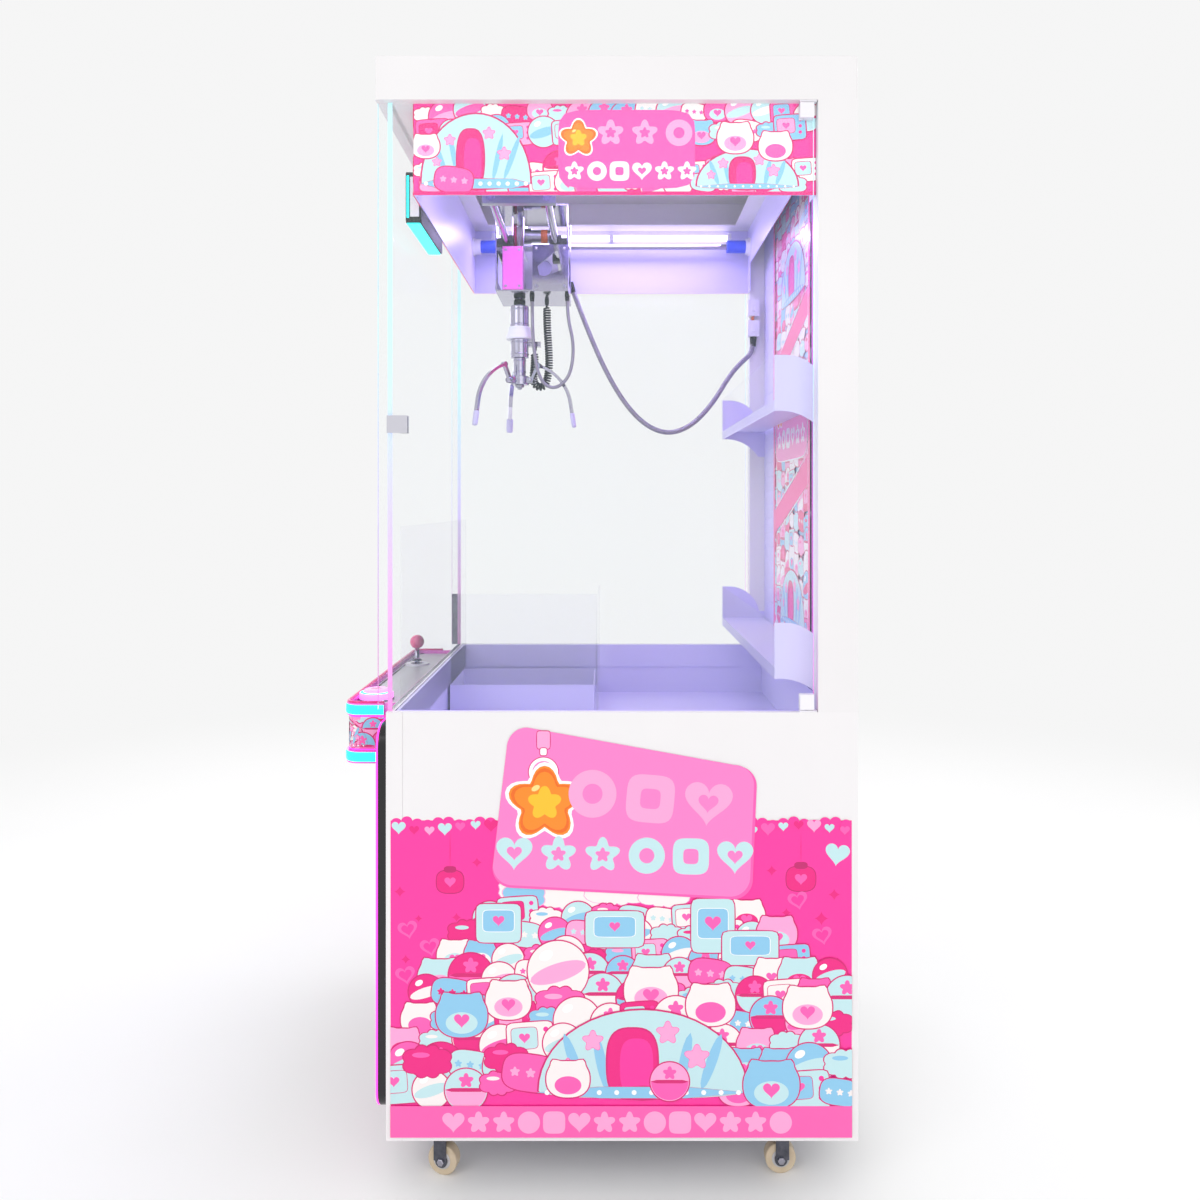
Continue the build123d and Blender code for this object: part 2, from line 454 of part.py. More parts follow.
def front_rounded(half, front_y, back_y, radius):
    """Outline of the control box in plan: straight back, two round front corners."""
    with BuildSketch() as outline:
        with BuildLine():
            l1 = Line((-half, back_y), (-half, front_y + radius))
            a1 = TangentArc(l1 @ 1, (-half + radius, front_y), tangent=l1 % 1)
            l2 = Line(a1 @ 1, (half - radius, front_y))
            a2 = TangentArc(l2 @ 1, (half, front_y + radius), tangent=l2 % 1)
            l3 = Line(a2 @ 1, (half, back_y))
            Line(l3 @ 1, l1 @ 0)
        make_face()
    return outline.sketch


with BuildPart() as control_box:
    with BuildSketch(Plane.XY.offset(CONTROL_Z0)):
        add(front_rounded(BODY_HALF, BODY_FRONT_Y, BEZEL_FRONT_Y, CONTROL_R - BAND_PROUD))
    extrude(amount=CONTROL_Z1 - CONTROL_Z0)
    for band_z in (CONTROL_Z0, CONTROL_Z1 - BAND_H):
        with BuildSketch(Plane.XY.offset(band_z)):
            add(front_rounded(CONTROL_HALF, PANEL_FRONT_Y, BEZEL_FRONT_Y, CONTROL_R))
        extrude(amount=BAND_H)
    block(-BODY_HALF, BODY_HALF, BEZEL_FRONT_Y, FRONT_Y, BEZEL_Z1 + 2, CONTROL_Z1)
    with BuildSketch(Plane.XY.offset(CONTROL_Z0 + CONTROL_WALL)):
        add(front_rounded(BODY_HALF - 8, BODY_FRONT_Y + 8, BEZEL_FRONT_Y - 4, CONTROL_R - BAND_PROUD - 8))
    extrude(amount=CONTROL_Z1, mode=Mode.SUBTRACT)
    with BuildSketch(Plane.XY.offset(PLATE_Z - PLATE_T)):
        add(front_rounded(BODY_HALF - 4, BODY_FRONT_Y + 4, FRONT_Y - 4, CONTROL_R - BAND_PROUD - 4))
    extrude(amount=40, mode=Mode.SUBTRACT)
save(control_box.part, "control_box")

SOCKET_R, SOCKET_HUB_R = 31.0, BUTTON_R + 3.0    # the button socket's rim, and its barrel under the plate
STICK_HOLE_R = 13.0
with BuildPart() as control_plate:
    with BuildSketch(Plane.XY.offset(PLATE_Z - PLATE_T)):
        add(front_rounded(BODY_HALF - 4.2, BODY_FRONT_Y + 4.2, FRONT_Y - 4.2, CONTROL_R - BAND_PROUD - 4))
        with Locations((BUTTON_X, BUTTON_Y)):
            Circle(SOCKET_HUB_R, mode=Mode.SUBTRACT)
        with Locations((STICK_X, STICK_Y)):
            Circle(STICK_HOLE_R, mode=Mode.SUBTRACT)
    extrude(amount=PLATE_T)
save(control_plate.part, "control_plate")

HOUSE_HALF, HOUSE_WALL, HOUSE_H = 25.0, 4.0, 30.0
GIMBAL_Z = PLATE_Z - PLATE_T - 14.0
GIMBAL_HALF = HOUSE_HALF - HOUSE_WALL - 3.0
GIMBAL_HOLE = 12.0
GIMBAL_PIN_R = 2.0
with BuildPart() as control_sockets:
    with Locations((BUTTON_X, BUTTON_Y, PLATE_Z)):
        Cylinder(SOCKET_R, 14, align=(Align.CENTER, Align.CENTER, Align.MIN))
    rod_along("Z", SOCKET_HUB_R, (BUTTON_X, BUTTON_Y, PLATE_Z - 12), 24)
    rod_along("Z", BUTTON_R + 0.1, (BUTTON_X, BUTTON_Y, PLATE_Z), 80, Mode.SUBTRACT)
    with BuildSketch(Plane.XY.offset(PLATE_Z)):
        with Locations((STICK_X, STICK_Y)):
            Circle(28)
            Circle(STICK_HOLE_R, mode=Mode.SUBTRACT)
    extrude(amount=3, taper=25)
    top_under = PLATE_Z - PLATE_T
    block(STICK_X - HOUSE_HALF, STICK_X + HOUSE_HALF, STICK_Y - HOUSE_HALF, STICK_Y + HOUSE_HALF,
          top_under - HOUSE_H, top_under)
    block(STICK_X - HOUSE_HALF + HOUSE_WALL, STICK_X + HOUSE_HALF - HOUSE_WALL,
          STICK_Y - HOUSE_HALF + HOUSE_WALL, STICK_Y + HOUSE_HALF - HOUSE_WALL,
          top_under - HOUSE_H + HOUSE_WALL, top_under + 1, Mode.SUBTRACT)
    rod_along("X", GIMBAL_PIN_R + FIT, (STICK_X, STICK_Y, GIMBAL_Z), 2 * HOUSE_HALF - 1.6, Mode.SUBTRACT)
save(control_sockets.part, "control_sockets")

with BuildPart() as stick_gimbal:
    block(STICK_X - GIMBAL_HALF, STICK_X + GIMBAL_HALF, STICK_Y - GIMBAL_HALF, STICK_Y + GIMBAL_HALF,
          GIMBAL_Z - 4, GIMBAL_Z + 4)
    block(STICK_X - GIMBAL_HOLE, STICK_X + GIMBAL_HOLE, STICK_Y - GIMBAL_HOLE, STICK_Y + GIMBAL_HOLE,
          GIMBAL_Z - 5, GIMBAL_Z + 5, Mode.SUBTRACT)
    for side in (-1, 1):
        pin_x = STICK_X + side * (HOUSE_HALF + GIMBAL_HOLE) / 2
        rod_along("X", GIMBAL_PIN_R, (pin_x, STICK_Y, GIMBAL_Z), HOUSE_HALF - GIMBAL_HOLE - 2)
    rod_along("Y", GIMBAL_PIN_R + FIT, (STICK_X, STICK_Y, GIMBAL_Z), 4 * GIMBAL_HALF, Mode.SUBTRACT)
save(stick_gimbal.part, "stick_gimbal")

STICK_TOP, KNOB_R = PLATE_Z + 68.0, 16.0
with BuildPart() as joystick:
    block(STICK_X - 8, STICK_X + 8, STICK_Y - 8, STICK_Y + 8, GIMBAL_Z - 7, GIMBAL_Z + 7)
    rod_along("Y", GIMBAL_PIN_R, (STICK_X, STICK_Y, GIMBAL_Z), 2 * GIMBAL_HALF - 1)
    rod_along("Z", 5, (STICK_X, STICK_Y, (GIMBAL_Z + STICK_TOP - KNOB_R) / 2), STICK_TOP - KNOB_R - GIMBAL_Z)
    with Locations((STICK_X, STICK_Y, STICK_TOP - KNOB_R)):
        Sphere(KNOB_R)
save(joystick.part, "joystick")

with BuildPart() as drop_button:
    rod_along("Z", BUTTON_R, (BUTTON_X, BUTTON_Y, PLATE_Z + 6), 28)
    fillet(drop_button.faces().sort_by(Axis.Z)[-1].edges(), 6)
save(drop_button.part, "drop_button")

# ---------------------------------------------------------------- gantry
with BuildPart() as side_rails:
    for side in (-1, 1):
        rail_mid = (SKIRT_FRONT_Y + SKIRT_BACK_Y) / 2
        rod_along("Y", ROD_R, (side * RAIL_X, rail_mid, RAIL_Z), SKIRT_BACK_Y - SKIRT_FRONT_Y - 2 * SHEET)
save(side_rails.part, "side_rails")

FLANGE_R, FLANGE_T, HUB_R = 22.0, 5.0, 19.0
with BuildPart() as rail_flanges:
    for side in (-1, 1):
        for wall_y, end_y in ((SKIRT_FRONT_Y + SHEET, RAIL_FRONT_Y), (SKIRT_BACK_Y - SHEET, RAIL_BACK_Y)):
            inward = 1 if end_y > wall_y else -1
            rod_along("Y", FLANGE_R, (side * RAIL_X, wall_y + inward * FLANGE_T / 2, RAIL_Z), FLANGE_T)
            rod_along("Y", HUB_R, (side * RAIL_X, (wall_y + end_y) / 2, RAIL_Z), abs(end_y - wall_y))
            rod_along("Y", ROD_R, (side * RAIL_X, wall_y, RAIL_Z), 60, Mode.SUBTRACT)
save(rail_flanges.part, "rail_flanges")

with BuildPart() as rail_buffers:
    for side in (-1, 1):
        for middle in (RAIL_FRONT_Y + BUFFER_L / 2, RAIL_BACK_Y - BUFFER_L / 2):
            rod_along("Y", BUFFER_R, (side * RAIL_X, middle, RAIL_Z), BUFFER_L)
            rod_along("Y", ROD_R, (side * RAIL_X, middle, RAIL_Z), BUFFER_L + 2, Mode.SUBTRACT)
save(rail_buffers.part, "rail_buffers")

BRIDGE_RODS_Y = (BRIDGE_Y - BRIDGE_PITCH / 2, BRIDGE_Y + BRIDGE_PITCH / 2)
with BuildPart() as bridge_rods:
    for rod_y in BRIDGE_RODS_Y:
        rod_along("X", ROD_R, (0, rod_y, BRIDGE_Z), 2 * RAIL_X + TRUCK_T)
save(bridge_rods.part, "bridge_rods")

TRUCK_Z1 = RAIL_Z + 19
with BuildPart() as bridge_trucks:
    for side in (-1, 1):
        with BuildSketch(Plane.YZ.offset(side * RAIL_X)):
            with BuildLine():
                Polyline((BRIDGE_Y - TRUCK_L / 2, BRIDGE_Z - 11), (BRIDGE_Y + TRUCK_L / 2, BRIDGE_Z - 11),
                         (BRIDGE_Y + TRUCK_L / 2, BRIDGE_Z + 14), (BRIDGE_Y + 32, TRUCK_Z1),
                         (BRIDGE_Y - 32, TRUCK_Z1), (BRIDGE_Y - TRUCK_L / 2, BRIDGE_Z + 14), close=True)
            make_face()
            with Locations((BRIDGE_Y, (BRIDGE_Z + RAIL_Z) / 2 - 4)):
                Circle(20, mode=Mode.SUBTRACT)
        extrude(amount=TRUCK_T / 2, both=True)
        rod_along("Y", 15, (side * RAIL_X, BRIDGE_Y, RAIL_Z), 90)
        rod_along("Y", ROD_R + FIT, (side * RAIL_X, BRIDGE_Y, RAIL_Z), 2 * TRUCK_L, Mode.SUBTRACT)
    for rod_y in BRIDGE_RODS_Y:
        rod_along("X", ROD_R, (0, rod_y, BRIDGE_Z), WIDTH, Mode.SUBTRACT)
save(bridge_trucks.part, "bridge_trucks")

PLATE = 3.0                # carriage plates
ROD_PLAY = 0.4             # round a rod where the frame passes it
MOTOR_PLATE_W, MOTOR_PLATE_H = 74.0, 96.0
DRUM_X = -DRUM_CORE_R - 1
DRUM_CHEEKS = (CLAW_Y - DRUM_W / 2 - 2.5, CLAW_Y + DRUM_W / 2 + 0.5)
with BuildPart() as carriage_frame:
    block(-CARRIAGE_X, CARRIAGE_X, CARRIAGE_Y0, CARRIAGE_Y1, CARRIAGE_Z0, CARRIAGE_Z0 + PLATE)
    block(-CARRIAGE_X, CARRIAGE_X, CARRIAGE_Y0, CARRIAGE_Y1, CARRIAGE_Z1 - PLATE, CARRIAGE_Z1)
    for wall_y in (CARRIAGE_Y0, CARRIAGE_Y1 - PLATE):
        block(-CARRIAGE_X, CARRIAGE_X, wall_y, wall_y + PLATE, CARRIAGE_Z0, CARRIAGE_Z1)
        block(-CARRIAGE_X + 24, CARRIAGE_X - 24, wall_y - 1, wall_y + PLATE + 1,
              CARRIAGE_Z0 + 22, CARRIAGE_Z0 + 84, Mode.SUBTRACT)
        block(-CARRIAGE_X + 24, CARRIAGE_X - 24, wall_y - 1, wall_y + PLATE + 1,
              CARRIAGE_Z0 + 112, CARRIAGE_Z1 - 16, Mode.SUBTRACT)
    for cheek_y in DRUM_CHEEKS:
        block(-48, 34, cheek_y, cheek_y + 2, BRIDGE_Z - 12, CARRIAGE_Z1 - PLATE)
    with BuildSketch(Plane.YZ.offset(CARRIAGE_X - PLATE)):
        with Locations((CARRIAGE_Y1 - MOTOR_PLATE_W / 2, CARRIAGE_Z0 + MOTOR_PLATE_H / 2)):
            Rectangle(MOTOR_PLATE_W, MOTOR_PLATE_H)
        with BuildLine(mode=Mode.PRIVATE) as cutout:
            FilletPolyline((CARRIAGE_Y1 - 64, CARRIAGE_Z0 + 52), (CARRIAGE_Y1 - 22, CARRIAGE_Z0 + 86),
                           (CARRIAGE_Y1 - 14, CARRIAGE_Z0 + 44), (CARRIAGE_Y1 - 58, CARRIAGE_Z0 + 26),
                           radius=4, close=True)
        make_face(cutout.edges(), mode=Mode.SUBTRACT)
    extrude(amount=PLATE)
    rod_along("Y", DRUM_SHAFT_R + FIT, (DRUM_X, CLAW_Y, DRUM_Z), DRUM_W + 8, Mode.SUBTRACT)
    rod_along("Z", 7, (0, CLAW_Y, CARRIAGE_Z0), 12, Mode.SUBTRACT)
    for rod_y in BRIDGE_RODS_Y:
        rod_along("X", ROD_R + ROD_PLAY, (0, rod_y, BRIDGE_Z), WIDTH, Mode.SUBTRACT)
save(carriage_frame.part, "carriage_frame")

BUSH_X0, BUSH_X1, BUSH_HALF = 49.0, 71.0, 12.5
with BuildPart() as carriage_bushes:
    for side in (-1, 1):
        x0, x1 = sorted((side * BUSH_X0, side * BUSH_X1))
        for rod_y, wall_y in zip(BRIDGE_RODS_Y, (CARRIAGE_Y0 + PLATE, CARRIAGE_Y1 - PLATE)):
            y0, y1 = sorted((rod_y + (BUSH_HALF if rod_y > wall_y else -BUSH_HALF), wall_y))
            block(x0, x1, y0, y1, BRIDGE_Z - BUSH_HALF + 6, BRIDGE_Z + BUSH_HALF - 6)
            block(x0, x1, rod_y - BUSH_HALF, rod_y + BUSH_HALF,
                  BRIDGE_Z - BUSH_HALF + 2, BRIDGE_Z + BUSH_HALF)
    for rod_y in BRIDGE_RODS_Y:
        rod_along("X", ROD_R + FIT, (0, rod_y, BRIDGE_Z), WIDTH, Mode.SUBTRACT)
save(carriage_bushes.part, "carriage_bushes")

COVER_Y0, COVER_Y1 = -192.0, -150.0
DRIVE_Y, DRIVE_Z = CARRIAGE_Y1 - 40.0, CARRIAGE_Z0 + PLATE + 15.0    # axis of the travel motor
with BuildPart() as carriage_cover:
    block(34, CARRIAGE_X, COVER_Y0, COVER_Y1, CARRIAGE_Z0 + PLATE, BRIDGE_Z - ROD_R - 3.5)
    fillet(carriage_cover.faces().sort_by(Axis.X)[-1].edges(), 3)
    block(33, CARRIAGE_X - 3, COVER_Y0 + 2.5, COVER_Y1 - 2.5, CARRIAGE_Z0 + PLATE + 2.5,
          BRIDGE_Z - ROD_R - 6, Mode.SUBTRACT)
save(carriage_cover.part, "carriage_cover")

with BuildPart() as carriage_motors:
    motor_y0 = DRUM_CHEEKS[1] + 2
    rod_along("Y", 17, (DRUM_X, motor_y0 + 6, DRUM_Z), 12)
    rod_along("Y", 14, (DRUM_X, motor_y0 + 32, DRUM_Z), 40)
    rod_along("Y", DRUM_SHAFT_R + 0.5, (DRUM_X, motor_y0, DRUM_Z), 6, Mode.SUBTRACT)
    rod_along("X", 15, (8, DRIVE_Y, DRIVE_Z), 62)
    rod_along("X", 5, (43, DRIVE_Y, DRIVE_Z), 12)
save(carriage_motors.part, "carriage_motors")

with BuildPart() as winch_drum:
    for end in (-1, 1):
        rod_along("Y", DRUM_R, (DRUM_X, CLAW_Y + end * (DRUM_W / 2 - 1.5), DRUM_Z), 3)
    rod_along("Y", DRUM_CORE_R, (DRUM_X, CLAW_Y, DRUM_Z), DRUM_W)
    rod_along("Y", DRUM_SHAFT_R, (DRUM_X, CLAW_Y, DRUM_Z), DRUM_W + 6)
    for end in (-1, 1):
        with BuildSketch(Plane.XZ.offset(-CLAW_Y + end * DRUM_W / 2)):
            with Locations((DRUM_X, DRUM_Z)):
                with PolarLocations(13, 5):
                    Circle(3)
        extrude(amount=-end * 6, mode=Mode.SUBTRACT)
save(winch_drum.part, "winch_drum")

# ---------------------------------------------------------------- claw
RING_R = 19.5
COIL_R = 20.0
COLLAR_Z, RING_Z = CLAW_TOP - 76.0, CLAW_TOP - 172.0    # undersides of the coil body and of the pivot ring
EAR_T = 3.0
finger_angles = [FINGER_TURN + 120 * number for number in range(3)]


def finger_plane(angle):
    """The upright plane through the claw's axis: local x runs outwards, local y runs up."""
    out_x, out_y = sin(radians(angle)), cos(radians(angle))
    return Plane(origin=(0, CLAW_Y, 0), x_dir=(out_x, out_y, 0), z_dir=(out_y, -out_x, 0))


with BuildPart() as claw_body:
    with BuildSketch(finger_plane(0)):
        with BuildLine():
            Polyline((0, CLAW_TOP), (7, CLAW_TOP), (7, CLAW_TOP - 4), (18.5, CLAW_TOP - 4),
                     (COIL_R, CLAW_TOP - 6), (COIL_R, COLLAR_Z), (19, COLLAR_Z), (19, COLLAR_Z - 38),
                     (13, COLLAR_Z - 40), (13, RING_Z + 20), (RING_R, RING_Z + 18), (RING_R, RING_Z),
                     (0, RING_Z), close=True)
        make_face()
    revolve(axis=Axis((0, CLAW_Y, 0), (0, 0, 1)))
    block(-28, -12, CLAW_Y + 12, CLAW_Y + 44, COLLAR_Z - 11, COLLAR_Z - 1)
    for angle in finger_angles:
        with BuildSketch(finger_plane(angle)):
            with Locations((FINGER_PIVOT_R, FINGER_PIVOT_Z)):
                Circle(6)
            with Locations(((FINGER_PIVOT_R + RING_R - 4) / 2, FINGER_PIVOT_Z)):
                Rectangle(FINGER_PIVOT_R - RING_R + 4, 12)
        extrude(amount=FINGER_W / 2 + 0.4 + EAR_T, both=True)
        with BuildSketch(finger_plane(angle)):
            with Locations((FINGER_PIVOT_R + 6, FINGER_PIVOT_Z)):
                Rectangle(2 * (FINGER_PIVOT_R + 6 - RING_R), 20)
        extrude(amount=FINGER_W / 2 + 0.4, both=True, mode=Mode.SUBTRACT)
        with BuildSketch(finger_plane(angle)):
            with Locations((FINGER_PIVOT_R, FINGER_PIVOT_Z)):
                Circle(FINGER_PIN_R)
        extrude(amount=FINGER_W / 2 + 1, both=True)
save(claw_body.part, "claw_body")

with BuildPart() as claw_collar:
    with BuildSketch(finger_plane(0)):
        with BuildLine():
            Polyline((COIL_R, COLLAR_Z + 27), (23, COLLAR_Z + 27), (24, COLLAR_Z + 20), (28.5, COLLAR_Z + 6),
                     (28.5, COLLAR_Z + 1), (COIL_R, COLLAR_Z + 1), close=True)
        make_face()
    revolve(axis=Axis((0, CLAW_Y, 0), (0, 0, 1)))
save(claw_collar.part, "claw_collar")

# A finger rises from its pivot to the elbow, bows outwards and ends in a straight tip.
ELBOW = (42, FINGER_PIVOT_Z + 31)
BOW_TOP, BOW_END = (84, FINGER_PIVOT_Z + 6), (112, FINGER_PIVOT_Z - 45)
FINGER_TIP = (121, FINGER_PIVOT_Z - 101)
for number, angle in enumerate(finger_angles, start=1):
    with BuildPart() as claw_finger:
        with BuildSketch(finger_plane(angle)):
            with BuildLine():
                link = Line((FINGER_PIVOT_R, FINGER_PIVOT_Z), ELBOW)
                bow = ThreePointArc(link @ 1, BOW_TOP, BOW_END)
                Line(bow @ 1, FINGER_TIP)
            trace(line_width=6)
            with Locations((FINGER_PIVOT_R, FINGER_PIVOT_Z)):
                Circle(5.5)
            with Locations(ELBOW):
                Circle(6)
            with Locations((FINGER_PIVOT_R, FINGER_PIVOT_Z)):
                Circle(FINGER_PIN_R + FIT, mode=Mode.SUBTRACT)
        extrude(amount=FINGER_W / 2, both=True)
    save(claw_finger.part, "claw_finger_" + str(number))

# ---------------------------------------------------------------- casters
caster_spots = (("front_right", CASTER_X, CASTER_FRONT_Y, 15), ("front_left", -CASTER_X, CASTER_FRONT_Y, -12),
                ("back_right", CASTER_X, CASTER_BACK_Y, 180), ("back_left", -CASTER_X, CASTER_BACK_Y, 180))
CASTER_PLATE, CASTER_PLATE_T = 62.0, 3.0
RACE_H = 6.0
RACE_Z = CASTER_H - CASTER_PLATE_T - RACE_H    # underside of the swivel race
KING_Z = 64.0


def caster_plane(x, y, turn):
    """Floor plane under a caster's swivel axis: local +y is the way the wheel trails."""
    return Plane(origin=(x, y, 0), x_dir=(cos(radians(turn)), -sin(radians(turn)), 0), z_dir=(0, 0, 1))


with BuildPart() as caster_plates:
    for name, x, y, turn in caster_spots:
        block(x - CASTER_PLATE / 2, x + CASTER_PLATE / 2, y - CASTER_PLATE / 2, y + CASTER_PLATE / 2,
              CASTER_H - CASTER_PLATE_T, CASTER_H)
        rod_along("Z", 18, (x, y, RACE_Z + RACE_H / 2), RACE_H)
        rod_along("Z", KING_R, (x, y, (RACE_Z + KING_Z) / 2), RACE_Z - KING_Z)
        for side in (-1, 1):
            for end in (-1, 1):
                rod_along("Z", 3.2, (x + side * 23, y + end * 23, CASTER_H), 10, Mode.SUBTRACT)
save(caster_plates.part, "caster_plates")

CHEEK_T, CHEEK_GAP = 3.0, 1.5
for name, x, y, turn in caster_spots:
    inner = WHEEL_W / 2 + CHEEK_GAP
    with BuildPart(caster_plane(x, y, turn)) as caster_fork:
        block(-inner - CHEEK_T, inner + CHEEK_T, -18, 26, KING_Z + 1, RACE_Z - 0.5)
        for side in (-1, 1):
            x0, x1 = sorted((side * inner, side * (inner + CHEEK_T)))
            block(x0, x1, CASTER_TRAIL - 14, CASTER_TRAIL + 9, WHEEL_R, KING_Z + 1)
            with Locations(Location((side * (inner + CHEEK_T / 2), CASTER_TRAIL, WHEEL_R), (0, 90, 0))):
                Cylinder(11, CHEEK_T)
        with Locations(Location((0, CASTER_TRAIL, WHEEL_R), (0, 90, 0))):
            Cylinder(AXLE_R, 2 * (inner + CHEEK_T) + 8)
        with Locations((0, 0, RACE_Z)):
            Cylinder(KING_R + FIT, 60, mode=Mode.SUBTRACT)
    save(caster_fork.part, "caster_fork_" + name)
    with BuildPart(caster_plane(x, y, turn)) as caster_wheel:
        with Locations(Location((0, CASTER_TRAIL, WHEEL_R), (0, 90, 0))):
            Cylinder(WHEEL_R, WHEEL_W)
            fillet(caster_wheel.edges().filter_by(GeomType.CIRCLE), 3)
        with Locations(Location((0, CASTER_TRAIL, WHEEL_R), (0, 90, 0))):
            Cylinder(AXLE_R + FIT, WHEEL_W + 10, mode=Mode.SUBTRACT)
    save(caster_wheel.part, "caster_wheel_" + name)

# ---------------------------------------------------------------- cables
CABLE_D, LOOP_D, CURLY_D = 12.0, 7.0, 18.0
CONNECTOR_X = -POST_IN_X
PLUG_Y, PLUG_Z = POST_FRONT_Y + 7.4, HEADER_Z - 273.0
with BuildPart() as wire_connectors:
    for base_z in (PLUG_Z, PLUG_Z + 52):
        block(CONNECTOR_X, CONNECTOR_X + 20, PLUG_Y - 14, PLUG_Y + 14, base_z, base_z + 40)
        block(CONNECTOR_X + 4, CONNECTOR_X + 16, PLUG_Y - 10, PLUG_Y + 10, base_z + 38, base_z + 41,
              Mode.SUBTRACT)
save(wire_connectors.part, "wire_connectors")


def arc_radii(points):
    """Radius at each inner corner: 0.45 of the shorter run over the tangent of half the turn."""
    places = [Vector(*point) for point in points]
    radii = []
    for before, here, after in zip(places, places[1:], places[2:]):
        half_turn = (here - before).get_angle(after - here) / 2
        radii.append(0.45 * min((here - before).length, (after - here).length) / tan(radians(half_turn)))
    return radii


def cable(points, diameter, label):
    """A tube of straight runs and tangent arcs, with its volume checked against its length."""
    radii = arc_radii(points)
    with BuildPart() as tube:
        with BuildLine() as route:
            FilletPolyline(*points, radius=radii)
        with BuildSketch(Plane(origin=route.wires()[0] @ 0, z_dir=route.wires()[0] % 0)):
            Circle(diameter / 2)
        sweep(path=route.wires()[0])
    length = route.wires()[0].length
    section = pi * diameter * diameter / 4
    print(label, "length", round(length), "radii", [round(r) for r in radii],
          "volume ratio", round(tube.part.volume / (section * length), 4))
    save(tube.part, label)


# The main cable hangs from the left truck to the plug; heights are taken from the bridge rods.
TRUCK_EXIT_X = 16.0 - RAIL_X
main_cable_points = [(TRUCK_EXIT_X, -67.5, BRIDGE_Z + 7), (TRUCK_EXIT_X + 1, -22, BRIDGE_Z - 118),
                     (TRUCK_EXIT_X + 5, 40, BRIDGE_Z - 252), (TRUCK_EXIT_X + 9, 104, BRIDGE_Z - 338),
                     (TRUCK_EXIT_X + 9, 170, BRIDGE_Z - 371), (TRUCK_EXIT_X + 5, 232, BRIDGE_Z - 351),
                     (TRUCK_EXIT_X - 3, PLUG_Y - 106, BRIDGE_Z - 294), (TRUCK_EXIT_X - 11, PLUG_Y - 62, BRIDGE_Z - 222),
                     (TRUCK_EXIT_X - 19, PLUG_Y - 32, BRIDGE_Z - 188), (CONNECTOR_X + 10, PLUG_Y, PLUG_Z - 38),
                     (CONNECTOR_X + 10, PLUG_Y, PLUG_Z)]
cable(main_cable_points, CABLE_D, "main_cable")

# The curly cord and the harness loop hang from the carriage's base plate.
curly_cord_points = [(-20, -106, CARRIAGE_Z0), (-20, -106, CARRIAGE_Z0 - 50), (-20, -102, CARRIAGE_Z0 - 102),
                     (-20, -101, CARRIAGE_Z0 - 139), (-20, -104, CARRIAGE_Z0 - 165),
                     (-20, -111, CARRIAGE_Z0 - 185), (-20, -129, CARRIAGE_Z0 - 186),
                     (-20, -136, CARRIAGE_Z0 - 166), (-20, -132, CARRIAGE_Z0 - 135), (-20, -132, COLLAR_Z - 11)]
cable(curly_cord_points, CURLY_D, "curly_cord")

loop_points = [(34, -60, CARRIAGE_Z0), (34, -60, CARRIAGE_Z0 - 44), (36, -46, CARRIAGE_Z0 - 100),
               (36, -50, CARRIAGE_Z0 - 154), (35, -65, CARRIAGE_Z0 - 183), (34, -88, CARRIAGE_Z0 - 196),
               (33, -110, CARRIAGE_Z0 - 186), (32, -124, CARRIAGE_Z0 - 156), (31, -131, CARRIAGE_Z0 - 106),
               (30, -134, CARRIAGE_Z0 - 48), (30, -134, CARRIAGE_Z0)]
cable(loop_points, LOOP_D, "harness_loop")
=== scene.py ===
"""Looks of a claw crane machine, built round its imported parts.

Metres, +Z up. The player stands on the -Y side and the glass door is on the +X side.
"""
import json

